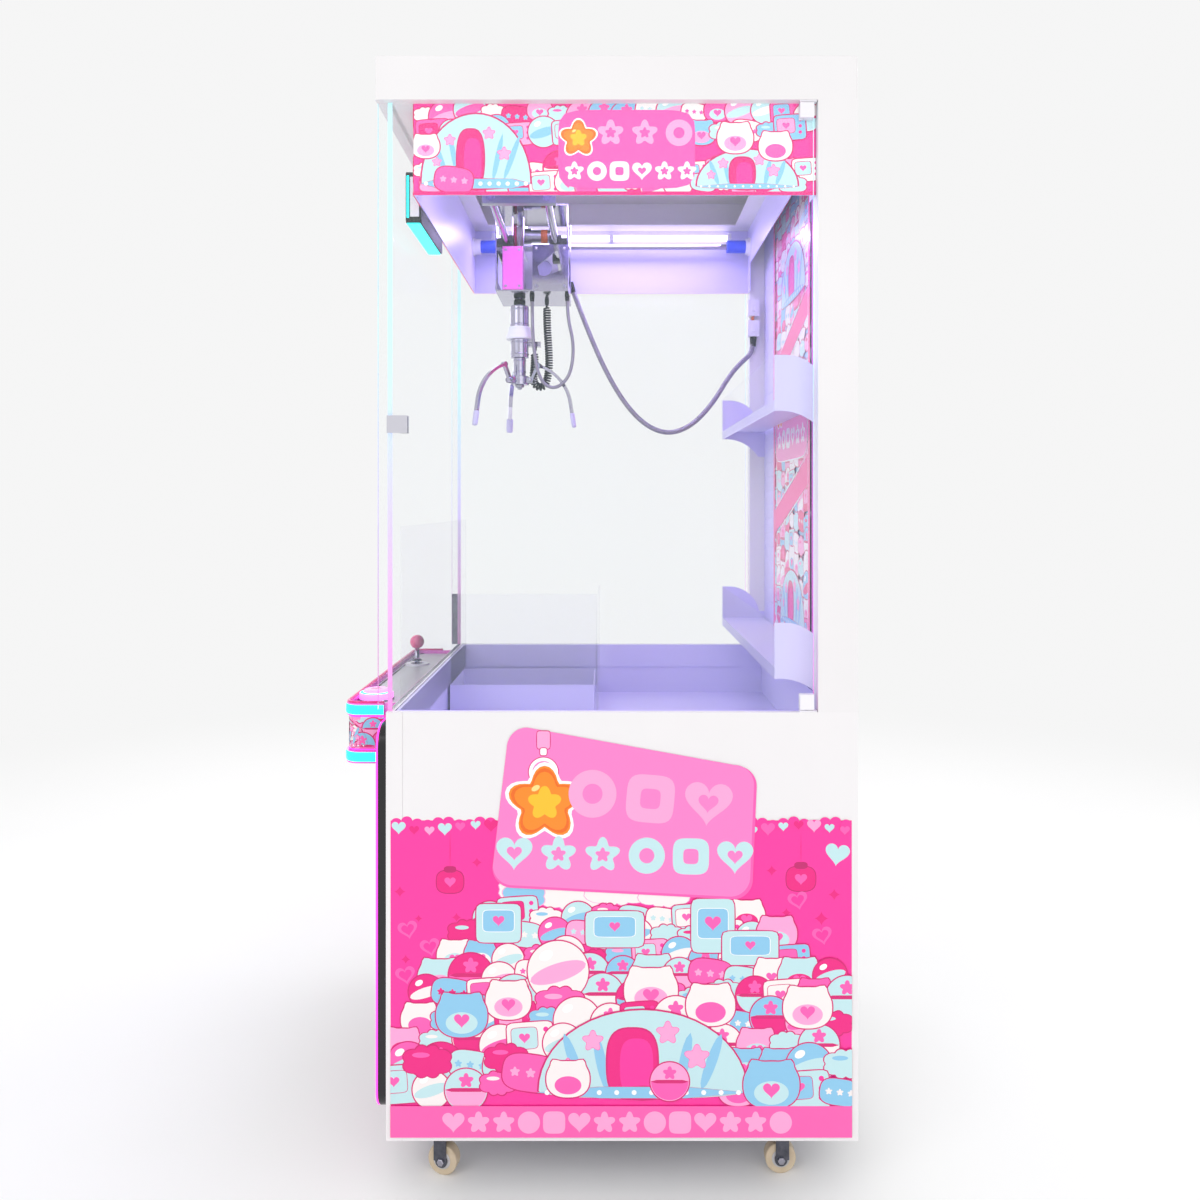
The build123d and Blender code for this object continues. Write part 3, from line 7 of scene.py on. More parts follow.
import bpy
import numpy as np
from mathutils import Vector
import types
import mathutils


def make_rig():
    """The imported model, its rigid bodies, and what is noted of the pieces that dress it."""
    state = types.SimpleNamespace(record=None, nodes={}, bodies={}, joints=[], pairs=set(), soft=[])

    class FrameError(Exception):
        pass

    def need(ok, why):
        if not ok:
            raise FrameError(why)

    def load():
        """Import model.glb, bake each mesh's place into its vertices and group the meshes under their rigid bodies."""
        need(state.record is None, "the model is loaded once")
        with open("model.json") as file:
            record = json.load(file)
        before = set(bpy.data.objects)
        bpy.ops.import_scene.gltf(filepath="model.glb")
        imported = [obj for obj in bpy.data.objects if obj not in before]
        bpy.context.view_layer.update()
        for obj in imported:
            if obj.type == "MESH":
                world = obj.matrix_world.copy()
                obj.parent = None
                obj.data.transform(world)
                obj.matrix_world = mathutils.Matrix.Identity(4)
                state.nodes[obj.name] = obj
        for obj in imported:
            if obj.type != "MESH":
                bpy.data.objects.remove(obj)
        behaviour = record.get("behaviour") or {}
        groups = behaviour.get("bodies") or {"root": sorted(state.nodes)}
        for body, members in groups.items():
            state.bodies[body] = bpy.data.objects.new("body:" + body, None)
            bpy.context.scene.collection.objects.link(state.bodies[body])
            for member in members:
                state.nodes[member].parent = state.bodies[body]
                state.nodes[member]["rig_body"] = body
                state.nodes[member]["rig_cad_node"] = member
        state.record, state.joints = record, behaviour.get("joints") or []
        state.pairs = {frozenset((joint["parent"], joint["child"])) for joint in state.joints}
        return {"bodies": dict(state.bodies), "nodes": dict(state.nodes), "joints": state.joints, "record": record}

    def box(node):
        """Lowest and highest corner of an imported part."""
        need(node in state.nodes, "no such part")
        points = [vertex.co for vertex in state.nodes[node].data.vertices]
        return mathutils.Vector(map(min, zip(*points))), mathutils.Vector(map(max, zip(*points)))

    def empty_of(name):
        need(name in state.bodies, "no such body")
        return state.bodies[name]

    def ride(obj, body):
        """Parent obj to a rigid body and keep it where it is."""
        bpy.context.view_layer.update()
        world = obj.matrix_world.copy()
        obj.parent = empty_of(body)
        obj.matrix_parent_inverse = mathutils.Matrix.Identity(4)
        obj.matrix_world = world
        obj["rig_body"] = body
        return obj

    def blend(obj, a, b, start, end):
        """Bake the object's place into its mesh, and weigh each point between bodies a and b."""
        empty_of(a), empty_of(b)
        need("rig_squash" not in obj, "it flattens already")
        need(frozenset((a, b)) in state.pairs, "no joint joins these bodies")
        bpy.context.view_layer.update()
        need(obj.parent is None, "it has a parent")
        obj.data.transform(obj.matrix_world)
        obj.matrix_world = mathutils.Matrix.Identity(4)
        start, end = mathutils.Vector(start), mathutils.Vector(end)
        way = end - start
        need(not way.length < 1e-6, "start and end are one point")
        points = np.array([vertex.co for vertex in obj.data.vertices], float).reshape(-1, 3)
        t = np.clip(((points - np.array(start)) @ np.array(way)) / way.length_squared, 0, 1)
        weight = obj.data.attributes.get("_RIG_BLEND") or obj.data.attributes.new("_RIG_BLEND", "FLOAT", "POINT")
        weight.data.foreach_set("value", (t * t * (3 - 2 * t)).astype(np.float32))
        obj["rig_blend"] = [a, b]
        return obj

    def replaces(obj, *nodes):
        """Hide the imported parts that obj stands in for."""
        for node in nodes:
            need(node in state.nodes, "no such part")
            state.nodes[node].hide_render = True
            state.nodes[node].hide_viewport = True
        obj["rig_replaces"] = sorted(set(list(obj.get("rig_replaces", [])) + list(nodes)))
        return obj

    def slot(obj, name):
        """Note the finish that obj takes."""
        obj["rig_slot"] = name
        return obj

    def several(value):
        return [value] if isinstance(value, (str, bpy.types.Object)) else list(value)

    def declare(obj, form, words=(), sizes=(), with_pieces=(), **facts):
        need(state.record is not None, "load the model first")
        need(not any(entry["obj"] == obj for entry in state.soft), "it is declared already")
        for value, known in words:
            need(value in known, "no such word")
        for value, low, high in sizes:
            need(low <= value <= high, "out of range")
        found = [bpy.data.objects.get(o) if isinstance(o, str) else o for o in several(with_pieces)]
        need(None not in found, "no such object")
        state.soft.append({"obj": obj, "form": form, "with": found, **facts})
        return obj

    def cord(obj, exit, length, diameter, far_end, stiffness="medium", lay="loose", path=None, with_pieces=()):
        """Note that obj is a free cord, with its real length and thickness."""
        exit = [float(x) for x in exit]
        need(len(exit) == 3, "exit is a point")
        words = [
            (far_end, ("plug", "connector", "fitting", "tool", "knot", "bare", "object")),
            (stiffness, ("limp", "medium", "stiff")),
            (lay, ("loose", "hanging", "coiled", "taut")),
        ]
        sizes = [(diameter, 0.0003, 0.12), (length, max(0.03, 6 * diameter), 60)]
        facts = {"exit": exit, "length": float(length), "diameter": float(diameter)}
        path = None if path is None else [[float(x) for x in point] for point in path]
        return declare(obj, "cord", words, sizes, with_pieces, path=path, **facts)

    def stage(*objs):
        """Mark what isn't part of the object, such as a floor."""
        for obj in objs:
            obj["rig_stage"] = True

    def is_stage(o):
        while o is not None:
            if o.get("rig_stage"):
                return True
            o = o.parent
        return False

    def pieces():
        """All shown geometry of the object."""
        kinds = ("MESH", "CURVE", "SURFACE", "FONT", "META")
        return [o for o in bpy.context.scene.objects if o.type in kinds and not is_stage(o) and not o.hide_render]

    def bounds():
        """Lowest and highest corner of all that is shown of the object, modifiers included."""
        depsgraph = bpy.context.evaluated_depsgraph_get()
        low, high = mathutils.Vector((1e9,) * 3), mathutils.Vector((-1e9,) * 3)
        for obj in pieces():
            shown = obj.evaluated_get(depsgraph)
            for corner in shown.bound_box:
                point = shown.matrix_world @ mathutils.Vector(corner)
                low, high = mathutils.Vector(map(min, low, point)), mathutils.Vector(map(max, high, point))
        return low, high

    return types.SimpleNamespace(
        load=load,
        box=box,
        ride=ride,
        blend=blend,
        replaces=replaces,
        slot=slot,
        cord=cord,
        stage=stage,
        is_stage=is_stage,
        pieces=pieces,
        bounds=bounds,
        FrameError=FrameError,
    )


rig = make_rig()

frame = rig.load()
nodes = frame["nodes"]
cad_low, cad_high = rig.bounds()
MM = 0.001
TAU = 2 * np.pi


# ------------------------------------------------------------------ mesh helpers
def make_object(name, points, faces, material, body, smooth=False, paint=None):
    """A mesh object from an (n, 3) array in metres, riding on a body; paint gives a colour for each face."""
    mesh = bpy.data.meshes.new(name)
    mesh.from_pydata(np.asarray(points, float).tolist(), [], [list(map(int, f)) for f in faces])
    mesh.polygons.foreach_set("use_smooth", np.full(len(mesh.polygons), smooth))
    if paint is not None:
        colour = mesh.color_attributes.new("paint", "BYTE_COLOR", "CORNER")
        corners = np.repeat(np.asarray(paint, float), [len(f) for f in faces], axis=0)
        colour.data.foreach_set("color", corners.ravel())
    mesh.materials.append(material)
    mesh.validate()
    piece = bpy.data.objects.new(name, mesh)
    bpy.context.scene.collection.objects.link(piece)
    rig.ride(piece, body)
    return piece


def grid_faces(rows, columns, close_columns=False):
    """Quads between neighbouring rows and columns of a grid of points, counted row by row."""
    last = columns if close_columns else columns - 1
    i, j = np.meshgrid(np.arange(rows - 1), np.arange(last), indexing="ij")
    right = (j + 1) % columns
    quads = np.stack([i * columns + j, i * columns + right, (i + 1) * columns + right, (i + 1) * columns + j], -1)
    return quads.reshape(-1, 4).tolist()


def lathe(profile, centre, axis, sides=48):
    """Turns a profile of (radius, height) pairs round an axis: point = centre + height * axis + radius
    * (cos t * side + sin t * across). The two ends are closed with flat caps."""
    axis = np.asarray(axis, float) / np.linalg.norm(axis)
    helper = np.array([0.0, 0, 1]) if abs(axis[2]) < 0.9 else np.array([1.0, 0, 0])
    side = np.cross(helper, axis)
    side /= np.linalg.norm(side)
    across = np.cross(axis, side)
    t = np.arange(sides) / sides * TAU
    ring = np.cos(t)[:, None] * side + np.sin(t)[:, None] * across
    profile = np.asarray(profile, float)
    points = np.asarray(centre) + profile[:, 1, None, None] * axis + profile[:, 0, None, None] * ring
    faces = grid_faces(len(profile), sides, True)
    faces.append(list(range(sides))[::-1])
    faces.append(list(range((len(profile) - 1) * sides, len(profile) * sides)))
    return points.reshape(-1, 3), faces


def tube(path, radius, sides=12):
    """A round tube along a path: each ring lies square to the path, and its side vector is carried from ring
    to ring by taking away the part that lies along the path."""
    path = np.asarray(path, float)
    along = np.gradient(path, axis=0)
    along /= np.linalg.norm(along, axis=1)[:, None]
    side = np.zeros_like(path)
    helper = np.array([0.3, 0.9, 0.2])
    for i, direction in enumerate(along):
        helper = helper - direction * (helper @ direction)
        helper = helper / np.linalg.norm(helper)
        side[i] = helper
    across = np.cross(along, side)
    t = np.arange(sides) / sides * TAU
    radius = np.broadcast_to(np.asarray(radius, float), (len(path),))
    rings = path[:, None] + radius[:, None, None] * (
        np.cos(t)[None, :, None] * side[:, None] + np.sin(t)[None, :, None] * across[:, None])
    faces = grid_faces(len(path), sides, True)
    faces.append(list(range(sides))[::-1])
    faces.append(list(range((len(path) - 1) * sides, len(path) * sides)))
    return rings.reshape(-1, 3), faces


def slab(low, high, bevel=0.0):
    """A box between two corners, with its twelve edges cut by a small bevel: each corner becomes a triangle."""
    low, high = np.asarray(low, float), np.asarray(high, float)
    b = min(bevel, 0.49 * float((high - low).min()))
    points, index = [], {}
    for sx in (0, 1):
        for sy in (0, 1):
            for sz in (0, 1):
                corner = np.where([sx, sy, sz], high, low)
                inward = np.where([sx, sy, sz], -b, b)
                for axis in range(3):
                    step = inward.copy()
                    step[axis] = 0
                    index[sx, sy, sz, axis] = len(points)
                    points.append(corner + step)
    faces = []
    square = ((0, 0), (1, 0), (1, 1), (0, 1))
    for axis in range(3):
        u, v = (axis + 1) % 3, (axis + 2) % 3
        for s in (0, 1):
            face = []
            for a, c in square:
                key = [0, 0, 0]
                key[axis], key[u], key[v] = s, a, c
                face.append(index[tuple(key) + (axis,)])
            faces.append(face if s else face[::-1])
        for a, c in square:
            ends = []
            for s in (0, 1):
                key = [0, 0, 0]
                key[axis], key[u], key[v] = s, a, c
                ends.append((index[tuple(key) + (u,)], index[tuple(key) + (v,)]))
            strip = [ends[0][0], ends[1][0], ends[1][1], ends[0][1]]
            faces.append(strip if a == c else strip[::-1])
    for sx, sy, sz in ((a, c, d) for a in (0, 1) for c in (0, 1) for d in (0, 1)):
        corner = [index[sx, sy, sz, axis] for axis in range(3)]
        faces.append(corner if (sx + sy + sz) % 2 else corner[::-1])
    return np.array(points), faces


def merged(shapes):
    """Joins (points, faces) pairs into one pair."""
    points, faces, start = [], [], 0
    for shape_points, shape_faces in shapes:
        points.append(np.asarray(shape_points))
        faces += [[index + start for index in face] for face in shape_faces]
        start += len(shape_points)
    return np.concatenate(points), faces


def set_screws(name, places, normal, radius, material, body):
    """Pan-head screws: low domes with a shallow round recess on top, all turned to face one way."""
    profile = [(0.0001, 0.4), (0.3, 0.42), (0.32, 0.55), (0.75, 0.5), (1.0, 0.22), (1.0, 0)][::-1]
    shapes = []
    for place in places:
        shapes.append(lathe([(r * radius, h * radius) for r, h in profile], place, normal, 12))
    piece = make_object(name, *merged(shapes), material, body, smooth=False)
    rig.slot(piece, "steel")
    return piece


# ------------------------------------------------------------------ material helpers
def linear(code, alpha=1.0):
    """An sRGB hex code as linear red, green, blue and alpha."""
    values = [int(code[i:i + 2], 16) / 255 for i in (1, 3, 5)]
    return tuple(v / 12.92 if v <= 0.04045 else ((v + 0.055) / 1.055) ** 2.4 for v in values) + (alpha,)


def add(tree, kind, links=None, **settings):
    """Adds a shader node; settings are its properties, links its inputs as values or as output sockets."""
    node = tree.nodes.new(kind)
    for key, value in settings.items():
        setattr(node, key, value)
    for key, value in (links or {}).items():
        if isinstance(value, bpy.types.NodeSocket):
            tree.links.new(value, node.inputs[key])
        else:
            node.inputs[key].default_value = value
    return node


def start_material(name, code, roughness, metallic=0.0, ior=1.5, alpha=1.0, coat=0.0):
    """A material with its Principled shader set from plain values."""
    material = bpy.data.materials.new(name)
    material.use_nodes = True
    tree = material.node_tree
    shader = tree.nodes["Principled BSDF"]
    shader.inputs["Base Color"].default_value = linear(code)
    shader.inputs["Roughness"].default_value = roughness
    shader.inputs["Metallic"].default_value = metallic
    shader.inputs["IOR"].default_value = ior
    shader.inputs["Alpha"].default_value = alpha
    shader.inputs["Coat Weight"].default_value = coat
    shader.inputs["Coat Roughness"].default_value = 0.05
    return material, tree, shader


def grain(tree, shader, size_mm, depth_mm, stretch=(1, 1, 1), detail=2.0):
    """Bump from noise whose features are size_mm across, stretched along an axis where stretch is small."""
    place = add(tree, "ShaderNodeTexCoord").outputs["Object"]
    turned = add(tree, "ShaderNodeMapping", {"Vector": place, "Scale": stretch}).outputs["Vector"]
    noise = add(tree, "ShaderNodeTexNoise", {"Vector": turned, "Scale": 1 / (size_mm * MM), "Detail": detail})
    bump = add(tree, "ShaderNodeBump", {"Height": noise.outputs["Fac"], "Distance": depth_mm * MM,
                                        "Strength": 1.0})
    tree.links.new(bump.outputs["Normal"], shader.inputs["Normal"])
    return noise


def mottle(tree, shader, dark, light, size_mm, socket="Base Color"):
    """Slow colour change between two hex codes over patches size_mm across."""
    place = add(tree, "ShaderNodeTexCoord").outputs["Object"]
    noise = add(tree, "ShaderNodeTexNoise", {"Vector": place, "Scale": 1 / (size_mm * MM), "Detail": 3.0})
    mix = add(tree, "ShaderNodeMix", {"Factor": noise.outputs["Fac"]}, data_type="RGBA")
    mix.inputs["A"].default_value = linear(dark)
    mix.inputs["B"].default_value = linear(light)
    tree.links.new(mix.outputs["Result"], shader.inputs[socket])


def powder_coat(name, dark, light, roughness=0.42):
    """Polyester powder coat on sheet steel: satin, with orange peel about 2 mm across."""
    material, tree, shader = start_material(name, light, roughness, ior=1.5)
    mottle(tree, shader, dark, light, 240)
    grain(tree, shader, 2.2, 0.02)
    return material


def polished_chrome():
    """Bright nickel-chrome plating: a mirror with faint swirls from buffing."""
    material, tree, shader = start_material("polished chrome plate", "#B3AEC2", 0.09, metallic=1.0)
    place = add(tree, "ShaderNodeTexCoord").outputs["Object"]
    noise = add(tree, "ShaderNodeTexNoise", {"Vector": place, "Scale": 90.0, "Detail": 2.0})
    spread = add(tree, "ShaderNodeMapRange", {"Value": noise.outputs["Fac"], "To Min": 0.05, "To Max": 0.16})
    tree.links.new(spread.outputs["Result"], shader.inputs["Roughness"])
    return material


def fitting_metal():
    """Glass fittings: the lock at the front is polished chrome, the pivot patches at the back are painted white."""
    material, tree, shader = start_material("chrome and white glass fittings", "#D9D8E2", 0.12, metallic=1.0)
    place = add(tree, "ShaderNodeTexCoord").outputs["Object"]
    along = add(tree, "ShaderNodeSeparateXYZ", {"Vector": place}).outputs["Y"]
    painted = add(tree, "ShaderNodeMath", {0: along, 1: 0.0}, operation="GREATER_THAN").outputs["Value"]
    mix = add(tree, "ShaderNodeMix", {"Factor": painted}, data_type="RGBA")
    mix.inputs["A"].default_value = linear("#D9D8E2")
    mix.inputs["B"].default_value = linear("#F0EEF4")
    metal = add(tree, "ShaderNodeMath", {0: 1.0, 1: painted}, operation="SUBTRACT")
    spread = add(tree, "ShaderNodeMapRange", {"Value": painted, "To Min": 0.12, "To Max": 0.4})
    tree.links.new(mix.outputs["Result"], shader.inputs["Base Color"])
    tree.links.new(metal.outputs["Value"], shader.inputs["Metallic"])
    tree.links.new(spread.outputs["Result"], shader.inputs["Roughness"])
    return material


def brushed_steel():
    """Stainless sheet, belt-brushed: hair lines about 0.5 mm apart, drawn at 1 mm so that they show."""
    material, tree, shader = start_material("brushed stainless steel", "#A9A8B4", 0.32, metallic=1.0)
    grain(tree, shader, 1.0, 0.02, stretch=(0.04, 1, 1), detail=3.0)
    return material


def zinc_steel():
    """Mild steel under dark zinc: grey, satin, with a coarse crystal mottle."""
    material, tree, shader = start_material("dark zinc plate", "#5E6068", 0.38, metallic=0.85)
    mottle(tree, shader, "#3F4148", "#70727C", 9)
    return material


def float_glass():
    """Tempered float glass, 6 mm: almost clear, a trace of blue-green."""
    material, tree, shader = start_material("tempered float glass", "#DDF3F4", 0.02, ior=1.52, alpha=0.035)
    shader.inputs["Specular IOR Level"].default_value = 0.5
    return material


def glass_edge():
    """Ground and polished glass edge with painted light: the light carried inside the sheet is painted as a glow, cyan
    at the top, fading to pink below.
    """
    material, tree, shader = start_material("lit glass edge", "#9FE6EE", 0.15, ior=1.52, alpha=0.85)
    place = add(tree, "ShaderNodeTexCoord").outputs["Object"]
    height = add(tree, "ShaderNodeSeparateXYZ", {"Vector": place}).outputs["Z"]
    low, high = PAINTED_GLOW_FADE
    share = add(tree, "ShaderNodeMapRange", {"Value": height, "From Min": low, "From Max": high})
    ramp = add(tree, "ShaderNodeValToRGB", {"Fac": share.outputs["Result"]})
    stops = ramp.color_ramp.elements
    stops[0].color, stops[1].color = linear("#F48FDA"), linear("#C4F1F8")
    middle = stops.new(0.5)
    middle.color = linear("#D3C4F6")
    tree.links.new(ramp.outputs["Color"], shader.inputs["Base Color"])
    tree.links.new(ramp.outputs["Color"], shader.inputs["Emission Color"])
    # painted glow: the edge's painted colour is also sent out as light, though the glass edge is no lamp
    shader.inputs["Emission Strength"].default_value = 0.30
    return material


def cast_acrylic():
    """Cast acrylic sheet: clear, softer shine than glass, a few fine scuffs."""
    material, tree, shader = start_material("cast clear acrylic", "#EEF2FF", 0.06, ior=1.49, alpha=0.07)
    grain(tree, shader, 3.0, 0.004)
    return material


def printed_film():
    """Gloss vinyl print: flat inks from the mesh's paint attribute under a clear laminate."""
    material, tree, shader = start_material("gloss printed vinyl", "#FF2FA0", 0.30, ior=1.5, coat=0.25)
    ink = add(tree, "ShaderNodeAttribute", attribute_name="paint")
    tree.links.new(ink.outputs["Color"], shader.inputs["Base Color"])
    grain(tree, shader, 6.0, 0.01)
    return material


def glowing(name, code, strength):
    """Milk-white acrylic over LEDs: it glows evenly in one colour."""
    material, tree, shader = start_material(name, code, 0.35)
    shader.inputs["Emission Color"].default_value = linear(code)
    shader.inputs["Emission Strength"].default_value = strength
    return material


def lit_film():
    """The same print on the skirt, lit a little from the lamps behind it."""
    material, tree, shader = start_material("backlit printed vinyl", "#FF2FA0", 0.30, ior=1.5, coat=0.25)
    ink = add(tree, "ShaderNodeAttribute", attribute_name="paint")
    tree.links.new(ink.outputs["Color"], shader.inputs["Base Color"])
    tree.links.new(ink.outputs["Color"], shader.inputs["Emission Color"])
    shader.inputs["Emission Strength"].default_value = 0.22
    return material


def moulded(name, code, roughness=0.35, coat=0.0):
    """Injection-moulded ABS: even colour, fine spark-eroded texture about 0.8 mm across."""
    material, tree, shader = start_material(name, code, roughness, ior=1.53, coat=coat)
    grain(tree, shader, 0.8, 0.01)
    return material


def steel_flex():
    """Satin metallised PVC jacket on the flexes: grey with a warm shine."""
    material, tree, shader = start_material("satin metallised jacket", "#8E8894", 0.36, metallic=0.55)
    mottle(tree, shader, "#7F7A88", "#A39DAA", 22)
    return material


def rubber(name, dark, light, roughness=0.7):
    """Moulded rubber or PVC jacket: dull, slightly uneven in tone."""
    material, tree, shader = start_material(name, dark, roughness, ior=1.52)
    mottle(tree, shader, dark, light, 14)
    grain(tree, shader, 0.6, 0.02)
    return material


glass_low, glass_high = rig.box("fixed_glass")
# heights over which the painted glow on the glass edges turns from pink to cyan
PAINTED_GLOW_FADE = (glass_low.z, glass_low.z + 0.62 * (glass_high.z - glass_low.z))
WHITE_COAT = powder_coat("white powder coat", "#E6E4E5", "#F0EEEF")
LAMINATE = powder_coat("white laminate board", "#E9E7E8", "#F1EFF0", 0.36)
LILAC_COAT = powder_coat("lilac powder coat", "#D2CCF8", "#DED9FC", 0.34)
GREY_COAT = powder_coat("silver powder coat", "#B4B3B6", "#CFCDCE", 0.35)
CHROME = polished_chrome()
STEEL = brushed_steel()
ZINC = zinc_steel()
GLASS = float_glass()
PAINTED_EDGE_GLOW = glass_edge()
ACRYLIC = cast_acrylic()
FITTINGS = fitting_metal()
FILM = printed_film()
LIT_FILM = lit_film()
BLACK_GLOSS = moulded("black gloss ABS", "#0A080E", 0.22)
BLACK_ABS = moulded("black moulded ABS", "#18171C", 0.5)
WHITE_ABS = moulded("white moulded nylon", "#EDECF2", 0.42)
PINK_ABS = moulded("pink gloss ABS", "#FB6FE0", 0.22, coat=0.4)
MAGENTA_ABS = moulded("magenta gloss ABS", "#F01C86", 0.24, coat=0.3)
BALL = moulded("joystick ball phenolic", "#F0107E", 0.12, coat=0.8)
BLUE_RUBBER = rubber("blue polyurethane buffer", "#2440D8", "#4A66F4", 0.45)
TAN_TYRE = rubber("tan polyurethane tyre", "#C2AE92", "#D8C8AE", 0.5)
GREY_JACKET = steel_flex()
BLACK_JACKET = rubber("black PVC jacket", "#0E0D12", "#23212B", 0.42)
BLACK_RUBBER = rubber("black rubber stop", "#17161B", "#2A2830", 0.65)
SOFT_TIP = rubber("lilac silicone tip", "#BDB6DC", "#CFC9EA", 0.5)
CYAN_GLOW = glowing("cyan light band", "#1FF7F7", 1.6)
PINK_GLOW = glowing("magenta light line", "#FF3CC4", 1.4)
LAMP = glowing("lamp diffuser", "#EFE6FF", 2.0)
BUTTON_GLOW = glowing("lit button", "#FF8CF2", 1.1)
GREEN_BOARD = moulded("circuit board lacquer", "#4F7D5A", 0.4)
ORANGE_ABS = moulded("orange coil tape", "#E2703A", 0.5)

FINISHES = {
    "white_board": LAMINATE, "white_sheet": WHITE_COAT, "lilac_sheet": LILAC_COAT, "dark_sheet": ZINC,
    "galvanised": STEEL, "art_print": LILAC_COAT, "art_board": PINK_ABS, "clear_glass": GLASS,
    "clear_acrylic": ACRYLIC, "chrome": CHROME, "steel": STEEL, "black_gloss": BLACK_GLOSS,
    "black_plastic": BLACK_ABS, "white_plastic": WHITE_ABS, "pink_plastic": PINK_ABS,
    "magenta_plastic": MAGENTA_ABS, "lit_button": BUTTON_GLOW, "red_ball": BALL, "blue_rubber": BLUE_RUBBER,
    "tan_tyre": TAN_TYRE, "cable_grey": GREY_JACKET, "cable_black": BLACK_JACKET, "grey_metal": GREY_COAT,
}
for part in frame["record"]["subparts"]:
    finish = FINISHES[part["material_slot"]]
    mesh = nodes[part["node"]].data
    mesh.materials.clear()
    mesh.materials.append(finish)
for name in ("back_wall", "shelves", "shelf_brackets"):
    nodes[name].data.materials[0] = LILAC_COAT
for name in ("glass_fittings", "glass_pivots"):
    nodes[name].data.materials[0] = FITTINGS


# ------------------------------------------------------------------ printed pictures
TURN = np.arange(48) / 48 * TAU


def rounded(width, height, squareness=6.0):
    """Superellipse: radius = (|cos t / a|^n + |sin t / b|^n)^(-1/n); n = 2 is an ellipse."""
    a, b = width / 2, height / 2
    radius = (np.abs(np.cos(TURN) / a) ** squareness + np.abs(np.sin(TURN) / b) ** squareness) ** (-1 / squareness)
    return np.stack([radius * np.cos(TURN), radius * np.sin(TURN)], 1)


def rectangle(width, height):
    """Twelve points along each side: the larger of |x / a| and |y / b| is 1, with every corner on a point."""
    side = np.linspace(-1, 1, len(TURN) // 4, endpoint=False)
    one = np.ones(len(side))
    square = np.concatenate([np.stack([one, side], 1), np.stack([-side, one], 1), np.stack([-one, -side], 1),
                             np.stack([side, -one], 1)])
    return square * [width / 2, height / 2]


def disc(width, height=None):
    """Ellipse, or a circle where no height is given."""
    return rounded(width, height or width, 2.0)


def heart(width):
    """x = 16 sin^3 t, y = 13 cos t - 5 cos 2t - 2 cos 3t - cos 4t, scaled to a width."""
    x = 16 * np.sin(-TURN) ** 3
    y = 13 * np.cos(TURN) - 5 * np.cos(2 * TURN) - 2 * np.cos(3 * TURN) - np.cos(4 * TURN)
    return np.stack([x, y + 2], 1) * width / 32


def star(width, points=5, depth=0.42):
    """Radius falls by depth half-way between the points: r = w / 2 * (1 - depth * (1 - |cos(n t / 2)|^1.4))."""
    radius = width / 2 * (1 - depth * (1 - np.abs(np.cos(points * (TURN - TAU / 4) / 2)) ** 1.4))
    return np.stack([radius * np.cos(TURN), radius * np.sin(TURN)], 1)


def sparkle(width):
    """Four-pointed astroid: x = w / 2 cos^3 t, y = w / 2 sin^3 t."""
    return np.stack([np.cos(TURN) ** 3, np.sin(TURN) ** 3], 1) * width / 2


def flower(width, petals=5):
    """r = w / 2 * (0.8 + 0.2 cos(n t))."""
    radius = width / 2 * (0.8 + 0.2 * np.cos(petals * (TURN - TAU / 4)))
    return np.stack([radius * np.cos(TURN), radius * np.sin(TURN)], 1)


def cloud(width, height, puffs=8):
    """Ellipse whose radius bulges between the puffs: r = ellipse * (0.84 + 0.16 |sin(n t / 2)|)."""
    return disc(width, height) * (0.84 + 0.16 * np.abs(np.sin(puffs * TURN / 2)))[:, None]


def dome(width, height):
    """Half ellipse above, and a shallow one a tenth as deep below."""
    up = np.where(np.sin(TURN) > 0, height, height * 0.1)
    return np.stack([width / 2 * np.cos(TURN), up * np.sin(TURN)], 1)


def plush(width, height):
    """Ellipse with two round ears: r = ellipse * (1 + 0.22 * bump at 52 and 128 degrees)."""
    ears = sum(np.exp(-((TURN - np.radians(angle)) / 0.20) ** 2) for angle in (52, 128))
    return rounded(width, height, 2.4) * (1 + 0.22 * ears)[:, None]


HOT, DEEP, BOARD, PALE = "#FF2FA0", "#EE0C82", "#FF80C8", "#FFA6D6"
MINT, BLUE, CREAM, RIM = "#C2E6EA", "#8CC9EA", "#F6F0EE", "#D80E72"
ORANGE, YELLOW, ROSE, WHITE = "#FF8A10", "#FFC21E", "#FF5CB4", "#FFFFFF"
FILM_T, INK_T = 0.2, 0.02    # mm: vinyl base, and each ink laid over another


